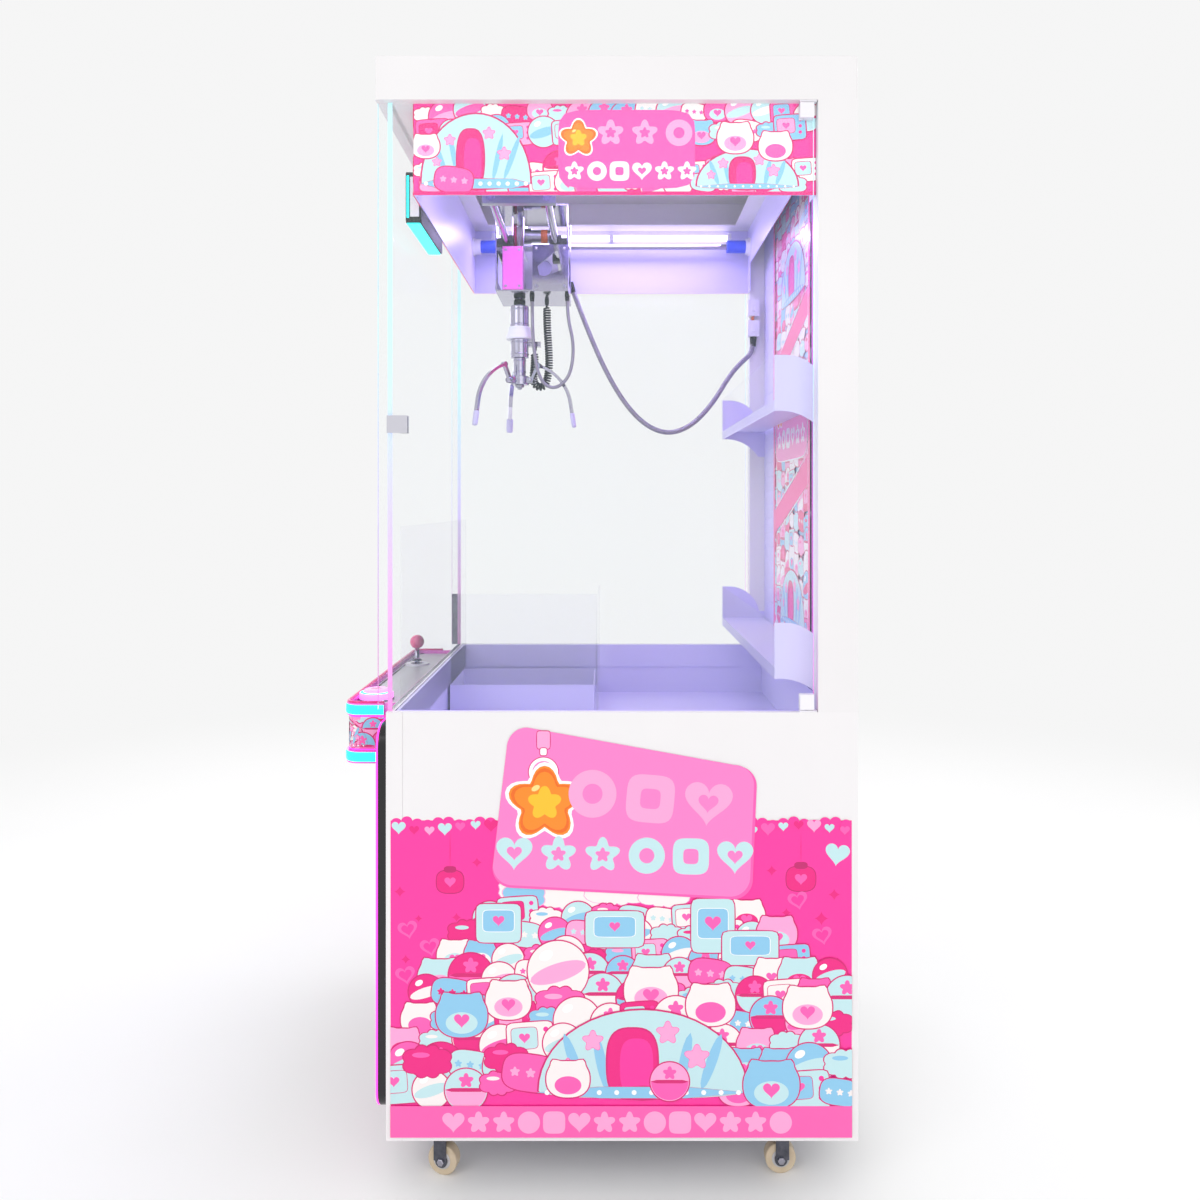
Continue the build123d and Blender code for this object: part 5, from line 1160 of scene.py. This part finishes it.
# ---- display
def display_details():
    """A dark screen with a cyan frame, two seven-bar figures and a row of bars, facing the player."""
    low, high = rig.box("display_unit")
    face = (low.y + 2 * MM) / MM
    width, tall = (high.x - low.x) / MM - 22, (high.z - low.z) / MM - 24
    centre_x, centre_z = (high.x + low.x) / 2 / MM, (high.z + low.z) / 2 / MM + 1
    art = Picture()
    art.lay(rounded(width, tall, 14.0), centre_x, centre_z, "#2FE9FF")
    art.lay(rounded(width - 5, tall - 5, 14.0), centre_x, centre_z, "#123A8A")
    for number, x in enumerate((-58, -28)):
        draw_figure(art, centre_x + x, centre_z, 20, 40, (0b1110111, 0b1101011)[number])
    for number in range(6):
        art.lay(rounded(8, 10 + 5 * number, 6.0), centre_x + 8 + 14 * number, centre_z - 16 + 2.5 * number, "#7BF6FF")
    art.mesh("display_face", lambda u, v, h: np.stack([u, face - h, v], 1), SCREEN, "cabinet", slot="black_plastic")


def display_edges():
    """Cyan light strips along the display's lower edge and its two ends, and white end plates."""
    low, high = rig.box("display_unit")
    strips = [slab((low.x + 4 * MM, low.y + 1 * MM, low.z - 1.6 * MM), (high.x - 4 * MM, high.y - 3 * MM, low.z + 0.2 * MM),
                   0.6 * MM)]
    plates = []
    for side, x in ((-1, low.x), (1, high.x)):
        x0, x1 = sorted((x, x + side * 1.4 * MM))
        strips.append(slab((x0, low.y + 2 * MM, low.z + 8 * MM), (x1, low.y + 6 * MM, high.z - 8 * MM), 0.5 * MM))
        plates.append(slab((x0, low.y + 8 * MM, low.z + 10 * MM), (x1, high.y - 4 * MM, high.z - 10 * MM), 0.5 * MM))
    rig.slot(make_object("display_strips", *merged(strips), CYAN_GLOW, "cabinet"), "black_plastic")
    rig.slot(make_object("display_ends", *merged(plates), WHITE_ABS, "cabinet"), "black_plastic")


def draw_figure(art, x, z, wide, tall, bars):
    """Seven bars of a counter's figure; bars says which are lit."""
    half = tall / 2
    places = ((0, half, 0), (-wide / 2, half / 2, 90), (wide / 2, half / 2, 90), (0, 0, 0),
              (-wide / 2, -half / 2, 90), (wide / 2, -half / 2, 90), (0, -half, 0))
    for number, (across, up, turn) in enumerate(places):
        if bars >> number & 1:
            art.lay(rounded(wide * 0.8, 4, 6.0), x + across, z + up, "#FFFFFF", turn)


def lit_screen():
    """LED screen: the mesh's paint attribute as light."""
    material, tree, shader = start_material("LED display screen", "#2FE9FF", 0.2)
    ink = add(tree, "ShaderNodeAttribute", attribute_name="paint")
    tree.links.new(ink.outputs["Color"], shader.inputs["Base Color"])
    tree.links.new(ink.outputs["Color"], shader.inputs["Emission Color"])
    shader.inputs["Emission Strength"].default_value = 1.2
    return material


SCREEN = lit_screen()
display_details()
display_edges()


# ---- screws
well_low, well_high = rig.box("prize_well")
rim_screws = []
for y in np.linspace(well_low.y + 70 * MM, well_high.y - 50 * MM, 8):
    rim_screws.append((well_low.x + 2.2 * MM, y, well_high.z - 20 * MM))
set_screws("rim_screws_left", rim_screws, (1, 0, 0), 5 * MM, CHROME, "cabinet")
set_screws("rim_screws_right", [(-x, y, z) for x, y, z in rim_screws], (-1, 0, 0), 5 * MM, CHROME, "cabinet")
header_low, header_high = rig.box("header_shell")
header_screws = [(x, header_high.y + 0.1 * MM, header_low.z + 20 * MM) for x in np.linspace(-0.36, 0.36, 7)]
set_screws("header_screws", header_screws, (0, 1, 0), 4.5 * MM, STEEL, "cabinet")
door_low, door_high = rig.box("back_door")
coin_low, coin_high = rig.box("coin_door")


def key_lock(name, place, normal, body):
    """A round key lock: flange, barrel, and a dark key slot."""
    profile = [(11, 0), (11.4, 1.2), (10.6, 2.2), (8.6, 2.4), (8.4, 4.2), (7.6, 4.8), (0.2, 4.8)]
    outline = [(r * MM, h * MM) for r, h in profile]
    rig.slot(make_object(name, *lathe(outline, place, normal, 40), CHROME, body, smooth=False), "chrome")
    front = np.asarray(place) + np.asarray(normal, float) * 4.8 * MM
    low = front - np.array([0.9, 0.3, 4.2]) * MM
    high = front + np.array([0.9, 0.3, 4.2]) * MM
    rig.slot(make_object(name + "_slot", *slab(low, high, 0.2 * MM), BLACK_ABS, body), "chrome")


key_lock("back_door_lock", (door_low.x + 30 * MM, door_high.y, (door_low.z + door_high.z) / 2), (0, 1, 0), "back_door")
key_lock("coin_door_lock", (coin_low.x + 26 * MM, coin_low.y, coin_high.z - 40 * MM), (0, -1, 0), "coin_door")


# ------------------------------------------------------------------ cables
# Routes repeat the part's own points, in mm.
MAIN_CABLE = [(-327, -67.5, 1729), (-326, -22, 1604), (-322, 40, 1470), (-318, 104, 1384), (-318, 170, 1351),
              (-322, 232, 1371), (-330, 286, 1428), (-338, 330, 1500), (-346, 360, 1534), (-356, 392, 1562),
              (-356, 392, 1600)]
CURLY_CORD = [(-20, -106, 1618), (-20, -106, 1568), (-20, -102, 1516), (-20, -101, 1479), (-20, -104, 1453),
              (-20, -111, 1433), (-20, -129, 1432), (-20, -136, 1452), (-20, -132, 1483), (-20, -132, 1519)]
HARNESS_LOOP = [(34, -60, 1618), (34, -60, 1574), (36, -46, 1518), (36, -50, 1464), (35, -65, 1435), (34, -88, 1422),
                (33, -110, 1432), (32, -124, 1462), (31, -131, 1512), (30, -134, 1570), (30, -134, 1618)]


def nurbs_curve(name, points_mm, radius, material=None):
    """A curve object of one open NURBS spline whose control points are the route's own."""
    curve = bpy.data.curves.new(name, "CURVE")
    curve.dimensions = "3D"
    curve.resolution_u = 24
    spline = curve.splines.new("NURBS")
    spline.points.add(len(points_mm) - 1)
    for point, place in zip(spline.points, points_mm):
        point.co = (place[0] * MM, place[1] * MM, place[2] * MM, 1.0)
    spline.order_u = 3
    spline.use_endpoint_u = True
    curve.bevel_depth = radius
    curve.bevel_resolution = 5
    curve.use_fill_caps = True
    piece = bpy.data.objects.new(name, curve)
    bpy.context.scene.collection.objects.link(piece)
    if material:
        curve.materials.append(material)
    return piece


def route_points(points_mm):
    """The smooth line of a route, read from its NURBS spline."""
    curve = nurbs_curve("route", points_mm, 0.0)
    mesh = bpy.data.meshes.new_from_object(curve)
    line = np.array([vertex.co for vertex in mesh.vertices])
    bpy.data.objects.remove(curve)
    bpy.data.meshes.remove(mesh)
    return line


def even(line, step):
    """The same line with its points a step apart."""
    run = np.concatenate([[0], np.cumsum(np.linalg.norm(np.diff(line, axis=0), axis=1))])
    marks = np.linspace(0, run[-1], max(int(run[-1] / step), 2))
    return np.stack([np.interp(marks, run, line[:, k]) for k in range(3)], 1), marks


def length_of(line):
    return float(np.linalg.norm(np.diff(line, axis=0), axis=1).sum())


def main_cable():
    """Grey PVC flex from the bridge truck to the plugs: a tube on its route, with faint lay ripples
    r = R (1 + 0.012 sin(run / 2.4 mm)) from the cores twisted inside."""
    line, run = even(route_points(MAIN_CABLE), 2.4 * MM)
    radius = 6 * MM * (1 + 0.012 * np.sin(run / (1.9 * MM)))
    cable = make_object("main_flex", *tube(line, radius, 20), GREY_JACKET, "cabinet", smooth=True)
    cable.parent = None
    del cable["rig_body"]
    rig.blend(cable, "bridge", "cabinet", start=line[0], end=line[-1])
    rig.replaces(cable, "main_cable")
    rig.slot(cable, "cable_grey")
    clip = strain_relief("truck_relief", line[0], line[1] - line[0], 9 * MM, 26 * MM, "bridge")
    sleeve = strain_relief("plug_relief", line[-1], line[-2] - line[-1], 9 * MM, 24 * MM, "cabinet")
    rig.cord(cable, exit=line[-1], length=length_of(line), diameter=12 * MM, far_end="object", stiffness="medium",
            lay="hanging", path=line, with_pieces=[clip, sleeve])


def strain_relief(name, place, direction, radius, length, body):
    """A ribbed rubber sleeve: its radius falls from one end to the other with a groove every 4 mm."""
    heights = np.linspace(0, length, 40)
    taper = radius * (1 - 0.22 * heights / length)
    grooves = 1 - 0.10 * (np.cos(heights / (4 * MM) * TAU) > 0.3)
    profile = list(zip(taper * grooves, heights))
    profile.insert(0, (radius * 0.6, 0.0))
    profile.append((radius * 0.6, length))
    piece = make_object(name, *lathe(profile, place, direction, 24), BLACK_RUBBER, body, smooth=False)
    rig.slot(piece, "cable_black")
    return piece


def curly_cord():
    """Black coiled cord: a helix of 7 mm radius round its route, one turn every 5.4 mm, opening from straight
    tails at both ends: centre(s) + 7 mm (cos w s, sin w s) in the two directions square to the route."""
    line, run = even(route_points(CURLY_CORD), 0.45 * MM)
    along = np.gradient(line, axis=0)
    along /= np.linalg.norm(along, axis=1)[:, None]
    across = np.array([1.0, 0, 0]) - along * along[:, :1]
    across /= np.linalg.norm(across, axis=1)[:, None]
    other = np.cross(along, across)
    ends = np.minimum(run, run[-1] - run)
    swell = np.clip((ends - 10 * MM) / (9 * MM), 0, 1)
    swell = swell * swell * (3 - 2 * swell)
    turns = run / (5.4 * MM) * TAU
    helix = line + 7 * MM * swell[:, None] * (np.cos(turns)[:, None] * across + np.sin(turns)[:, None] * other)
    cord = make_object("coiled_cord", *tube(helix, 1.95 * MM, 8), BLACK_JACKET, "claw", smooth=True)
    cord.parent = None
    del cord["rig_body"]
    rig.blend(cord, "carriage", "claw", start=line[0], end=line[-1])
    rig.replaces(cord, "curly_cord")
    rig.slot(cord, "cable_black")
    top = strain_relief("coil_relief_top", line[0], line[1] - line[0], 5 * MM, 9 * MM, "carriage")
    foot = strain_relief("coil_relief_foot", line[-1], line[-2] - line[-1], 5 * MM, 9 * MM, "claw")
    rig.cord(cord, exit=helix[0], length=length_of(helix), diameter=3.9 * MM, far_end="object", stiffness="medium",
            lay="coiled", path=helix, with_pieces=[top, foot])


def harness_loop():
    """Smooth grey flex that loops below the carriage and returns into it."""
    line = route_points(HARNESS_LOOP)
    loop = nurbs_curve("harness_flex", HARNESS_LOOP, 3.5 * MM, GREY_JACKET)
    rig.ride(loop, "carriage")
    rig.replaces(loop, "harness_loop")
    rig.slot(loop, "cable_grey")
    ends = [strain_relief("loop_relief_" + word, line[at], line[step] - line[at], 5.5 * MM, 12 * MM, "carriage")
            for word, at, step in (("back", 0, 1), ("front", -1, -2))]
    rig.cord(loop, exit=line[0], length=length_of(line), diameter=7 * MM, far_end="object", stiffness="medium",
            lay="hanging", with_pieces=ends)


def plug_wires():
    """Four thin cores between the two white plugs, each bowed a little: straight run plus a sine bow."""
    low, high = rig.box("wire_connectors")
    t = np.linspace(0, 1, 14)
    shapes = []
    for number in range(4):
        x = low.x + (4 + 4 * number) * MM
        y = (low.y + high.y) / 2 + (number % 2 - 0.5) * 5 * MM
        path = np.stack([x - 0 * t, y - np.sin(t * np.pi) * 3 * MM * (number % 2), low.z + (40 + 12 * t) * MM], 1)
        shapes.append(tube(path, 1.1 * MM, 8))
    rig.slot(make_object("plug_wires", *merged(shapes), ORANGE_ABS, "cabinet", smooth=True), "white_plastic")
    latch = [slab((high.x, (low.y + high.y) / 2 - 5 * MM, z), (high.x + 2.4 * MM, (low.y + high.y) / 2 + 5 * MM,
                                                              z + 18 * MM), 0.8 * MM)
             for z in (low.z + 12 * MM, high.z - 30 * MM)]
    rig.slot(make_object("plug_latches", *merged(latch), WHITE_ABS, "cabinet"), "white_plastic")


main_cable()
curly_cord()
harness_loop()
plug_wires()


# ------------------------------------------------------------------ carriage and claw
claw_low, claw_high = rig.box("claw_body")
CLAW_X, CLAW_Y = 0.0, -163 * MM
drum_mid = mid("winch_drum")
drum_low, drum_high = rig.box("winch_drum")


def winch_string():
    """White braided string from the drum to the claw: a tube with strand ripples, which stretches with the drop."""
    height = np.linspace(drum_mid.z, claw_high.z - 2 * MM, 160)
    path = np.stack([np.full(160, CLAW_X), np.full(160, CLAW_Y), height], 1)
    radius = 1.4 * MM * (1 + 0.12 * np.sin(np.arange(160) * 1.3))
    string = make_object("winch_string", *tube(path, radius, 10), WHITE_ABS, "claw", smooth=True)
    string.parent = None
    del string["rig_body"]
    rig.blend(string, "carriage", "claw", start=path[0], end=path[-1])
    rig.slot(string, "white_plastic")


def string_winding():
    """Turns of string on the drum's core: the radius swells once for each turn, r = R + |sin| of the run."""
    wide = 13 * MM
    t = np.linspace(0, 1, 60)
    radius = 19.4 * MM + 2.6 * MM * np.abs(np.sin(t * np.pi * 6)) ** 0.7
    profile = [(19.0 * MM, 0)] + list(zip(radius, t * wide)) + [(19.0 * MM, wide)]
    start = (drum_mid.x, CLAW_Y - wide / 2, drum_mid.z)
    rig.slot(make_object("string_winding", *lathe(profile, start, (0, 1, 0), 48), WHITE_ABS, "winch_drum", smooth=True),
            "white_plastic")


def claw_details():
    """Rubber stop on the top, seams and screws on the coil body, and soft caps on the finger tips."""
    stop = [(4, 0), (11.5, 0), (12.5, 1.5), (12.5, 8), (11, 10.5), (4, 11)]
    outline = [(r * MM, h * MM) for r, h in stop]
    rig.slot(make_object("claw_stop", *lathe(outline, (CLAW_X, CLAW_Y, claw_high.z), (0, 0, 1), 40), BLACK_RUBBER, "claw",
                        smooth=True), "black_plastic")
    rings = []
    for height, radius in ((1594, 20.4), (1562, 20.4), (1524, 19.6), (1500, 19.6), (1486, 13.7), (1462, 13.7)):
        profile = [(radius - 1, -1.8), (radius, -1.6), (radius + 0.5, 0), (radius, 1.6), (radius - 1, 1.8)]
        rings.append(lathe([(r * MM, h * MM) for r, h in profile], (CLAW_X, CLAW_Y, height * MM), (0, 0, 1), 40))
    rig.slot(make_object("claw_bands", *merged(rings), CHROME, "claw", smooth=True), "chrome")
    centre = (CLAW_X, CLAW_Y, 1433.9 * MM)
    nut = [(9, 0), (9.4, 1), (9, 5), (5, 6), (4.4, 9), (0.5, 10)]
    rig.slot(make_object("claw_nut", *lathe([(r * MM, h * MM) for r, h in nut], centre, (0, 0, -1), 6), STEEL, "claw"),
            "chrome")
    bolts = []
    for number in range(3):
        angle = np.radians(14 + 120 * number)
        out = np.array([np.sin(angle), np.cos(angle), 0])
        side = np.array([out[1], -out[0], 0])
        pivot = np.array([CLAW_X, CLAW_Y, 1443 * MM]) + out * 27 * MM
        for sign in (-1, 1):
            bolts.append(lathe([(4 * MM, 0), (4.2 * MM, 1 * MM), (3.4 * MM, 2.6 * MM), (0.3 * MM, 2.8 * MM)],
                               pivot + side * sign * 7.9 * MM, side * sign, 6))
        tip = np.array([CLAW_X, CLAW_Y, 0]) + out * 121 * MM + np.array([0, 0, 1342 * MM])
        above = np.array([CLAW_X, CLAW_Y, 0]) + out * 112 * MM + np.array([0, 0, 1398 * MM])
        down = (tip - above) / np.linalg.norm(tip - above)
        cap = [(6.6, 0), (7.3, 1.5), (7.5, 8), (7.4, 20), (7.0, 27), (6.4, 29.2), (4.6, 30.2), (0.3, 30.4)]
        points, faces = lathe([(r * MM, h * MM) for r, h in cap], tip - down * 29.4 * MM, down, 28)
        flat = np.cross(down, side)
        points = points - 0.36 * np.outer((points - tip) @ flat, flat)
        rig.slot(make_object("tip_cap_" + str(number + 1), points, faces, SOFT_TIP,
                            "claw_finger_" + str(number + 1), smooth=True), "white_plastic")
    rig.slot(make_object("claw_bolts", *merged(bolts), STEEL, "claw"), "chrome")


def carriage_details():
    """Cap screws, a circuit board, a motor end cap and a band of tape on the carriage."""
    low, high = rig.box("carriage_frame")
    places = [(x, y, high.z) for x in (low.x + 12 * MM, high.x - 12 * MM) for y in (low.y + 12 * MM, high.y - 12 * MM)]
    set_screws("carriage_screws_top", places, (0, 0, 1), 4 * MM, STEEL, "carriage")
    places = [(high.x, y, z) for y in (low.y + 84 * MM, high.y - 8 * MM) for z in (low.z + 10 * MM, low.z + 88 * MM)]
    set_screws("carriage_screws_side", places, (1, 0, 0), 3.6 * MM, STEEL, "carriage")
    places = [(x, low.y, z) for x in (low.x + 10 * MM, high.x - 10 * MM) for z in (low.z + 10 * MM, high.z - 8 * MM)]
    set_screws("carriage_screws_front", places, (0, -1, 0), 3.6 * MM, STEEL, "carriage")
    cover_low, cover_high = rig.box("carriage_cover")
    places = [(cover_high.x, y, z) for y in (cover_low.y + 7 * MM, cover_high.y - 7 * MM)
              for z in (cover_low.z + 8 * MM, cover_high.z - 8 * MM)]
    set_screws("cover_screws", places, (1, 0, 0), 2.6 * MM, STEEL, "carriage")
    motor = [(14.0, 0), (14.4, 0.6), (14.4, 7), (13.2, 8.2), (5.4, 8.4), (5.0, 11), (0.4, 11.2)]
    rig.slot(make_object("motor_cap", *lathe([(r * MM, h * MM) for r, h in motor], (drum_mid.x, -96 * MM, drum_mid.z),
                        (0, 1, 0), 40), BLACK_ABS, "carriage", smooth=False), "steel")
    tape = [(14.15, 0), (14.5, 0.4), (14.5, 13.6), (14.15, 14)]
    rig.slot(make_object("motor_tape", *lathe([(r * MM, h * MM) for r, h in tape], (drum_mid.x, -118 * MM, drum_mid.z),
                        (0, 1, 0), 40), ORANGE_ABS, "carriage", smooth=True), "steel")
    board_low = np.array([low.x + 6 * MM, low.y + 10 * MM, low.z + 3 * MM])
    board = slab(board_low, board_low + np.array([44, 58, 1.6]) * MM, 0.3 * MM)
    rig.slot(make_object("motor_board", *board, GREEN_BOARD, "carriage"), "black_plastic")
    parts = [slab(board_low + np.array([x, y, 1.6]) * MM, board_low + np.array([x + w, y + d, 1.6 + h]) * MM, 0.4 * MM)
             for x, y, w, d, h in ((4, 6, 12, 9, 6), (20, 6, 8, 8, 3), (32, 8, 8, 20, 7), (6, 24, 18, 10, 2.5),
                                   (6, 42, 10, 10, 8), (24, 40, 14, 12, 4))]
    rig.slot(make_object("board_parts", *merged(parts), BLACK_ABS, "carriage"), "black_plastic")


winch_string()
string_winding()
claw_details()
carriage_details()


# ---- rail flange screws
def flange_screws():
    """Three screws round each rail flange."""
    low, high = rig.box("rail_flanges")
    places_front, places_back = [], []
    for side in (-1, 1):
        for number in range(3):
            angle = TAU * number / 3 + 0.5
            x, z = side * 343 * MM + 20 * MM * np.cos(angle), 1823 * MM + 20 * MM * np.sin(angle)
            places_front.append((x, low.y + 5 * MM, z))
            places_back.append((x, high.y - 5 * MM, z))
    set_screws("flange_screws_front", places_front, (0, 1, 0), 1.8 * MM, STEEL, "cabinet")
    set_screws("flange_screws_back", places_back, (0, -1, 0), 1.8 * MM, STEEL, "cabinet")


flange_screws()


# ------------------------------------------------------------------ casters
def caster_details():
    """On every caster: hub discs on the wheel, an axle nut each side on the fork, and four plate bolts."""
    plate_low, plate_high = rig.box("caster_plates")
    for corner in ("front_right", "front_left", "back_right", "back_left"):
        wheel = "wheel_" + corner
        node = "caster_wheel_" + corner
        fork = "fork_" + corner
        vertices = np.array([v.co for v in nodes[node].data.vertices])
        centre = (vertices.max(0) + vertices.min(0)) / 2
        spread = vertices - centre
        values, directions = np.linalg.eigh(spread.T @ spread)
        axis = directions[:, 0]
        hubs = []
        for sign in (-1, 1):
            profile = [(15.5, 0), (15.8, 0.3), (14.8, 0.7), (12, 0.5), (8, 0.9), (7.4, 1.1), (4.4, 1.1)]
            hubs.append(lathe([(r * MM, h * MM) for r, h in profile], centre + axis * sign * 10 * MM, axis * sign, 36))
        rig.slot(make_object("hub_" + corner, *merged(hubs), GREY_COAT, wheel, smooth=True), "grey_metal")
        nuts = []
        for sign in (-1, 1):
            nuts.append(lathe([(6.4 * MM, 0), (6.4 * MM, 3.4 * MM), (5.4 * MM, 4.2 * MM), (0.3 * MM, 4.4 * MM)],
                              centre + axis * sign * 14.6 * MM, axis * sign, 6))
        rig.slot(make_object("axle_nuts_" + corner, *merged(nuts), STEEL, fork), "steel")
    bolts = []
    for x in (-344, 344):
        for y in (-281, 346):
            for dx in (-23, 23):
                for dy in (-23, 23):
                    bolts.append(lathe([(5 * MM, 0), (5.2 * MM, 0.8 * MM), (5 * MM, 3 * MM), (0.3 * MM, 3.4 * MM)],
                                       ((x + dx) * MM, (y + dy) * MM, plate_high.z - 3 * MM), (0, 0, -1), 6))
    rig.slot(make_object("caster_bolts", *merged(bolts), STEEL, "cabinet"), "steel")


caster_details()


# ------------------------------------------------------------------ lamps, floor, camera
WHITE_ROUND = 0.92


def area_lamp(name, place, target, width, height, watts, code="#FFFFFF", spread=180):
    """A rectangular lamp that faces a target point."""
    data = bpy.data.lights.new(name, "AREA")
    data.shape = "RECTANGLE"
    data.size, data.size_y = width, height
    data.energy = watts
    data.color = linear(code)[:3]
    data.spread = np.radians(spread)
    lamp = bpy.data.objects.new(name, data)
    lamp.location = place
    lamp.rotation_euler = (Vector(target) - Vector(place)).to_track_quat("-Z", "Y").to_euler()
    bpy.context.scene.collection.objects.link(lamp)
    return lamp


def floor_sheet():
    """A plain pale floor that runs out on every side and fades into the white round it 1.4 to 4 m out."""
    reach = 14.0
    corners = [(-reach, -reach, 0), (reach, -reach, 0), (reach, reach, 0), (-reach, reach, 0)]
    mesh = bpy.data.meshes.new("floor")
    mesh.from_pydata(corners, [], [(0, 1, 2, 3)])
    material, tree, shader = start_material("pale studio floor", "#FAFAFA", 0.85)
    mottle(tree, shader, "#F6F6F6", "#FDFDFD", 900)
    place = add(tree, "ShaderNodeTexCoord")
    away = add(tree, "ShaderNodeVectorMath", {0: place.outputs["Object"]}, operation="LENGTH")
    share = add(tree, "ShaderNodeMapRange", {"Value": away.outputs["Value"], "From Min": 1.4, "From Max": 4.0},
                interpolation_type="SMOOTHSTEP")
    glow = add(tree, "ShaderNodeEmission", {"Color": linear("#FFFFFF"), "Strength": WHITE_ROUND})
    faded = add(tree, "ShaderNodeMixShader", {0: share.outputs["Result"], 1: shader.outputs[0], 2: glow.outputs[0]})
    tree.links.new(faded.outputs[0], tree.nodes["Material Output"].inputs["Surface"])
    mesh.materials.append(material)
    floor = bpy.data.objects.new("floor", mesh)
    bpy.context.scene.collection.objects.link(floor)
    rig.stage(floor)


floor_sheet()
area_lamp("key", (3.4, -2.6, 3.4), (0, 0, 1.0), 2.4, 2.4, 30)
area_lamp("side_fill", (3.8, 1.6, 1.6), (0, 0, 1.0), 2.6, 2.6, 16)
area_lamp("far_fill", (-3.2, -2.2, 2.8), (0, 0, 1.0), 2.4, 2.4, 20)
area_lamp("back_fill", (-1.6, 3.4, 2.4), (0, 0, 1.0), 2.4, 2.4, 20)

for side in (-1, 1):
    area_lamp("cabin_lamp_" + ("left", "right")[side > 0], (side * 0.30, 0.03, 1.845), (side * 0.1, 0.03, 0.8),
              0.56, 0.08, 1.7, "#D2C0FF")

world = bpy.data.worlds.new("studio")
world.use_nodes = True
world.node_tree.nodes["Background"].inputs["Color"].default_value = linear("#FFFFFF")
world.node_tree.nodes["Background"].inputs["Strength"].default_value = WHITE_ROUND
bpy.context.scene.world = world
bpy.context.scene.view_settings.view_transform = "Standard"

camera_data = bpy.data.cameras.new("camera")
camera_data.lens = 28.3
camera_data.sensor_width = 36
camera_data.shift_x = -0.004
camera_data.shift_y = -0.08
camera = bpy.data.objects.new("camera", camera_data)
camera.location = (2.016, 0.019, 1.18)
camera.rotation_euler = (np.radians(90), 0, np.radians(90))
bpy.context.scene.collection.objects.link(camera)
bpy.context.scene.camera = camera

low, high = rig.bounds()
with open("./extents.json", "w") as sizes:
    json.dump({"cad": [list(cad_low), list(cad_high)], "visual": [list(low), list(high)]}, sizes)
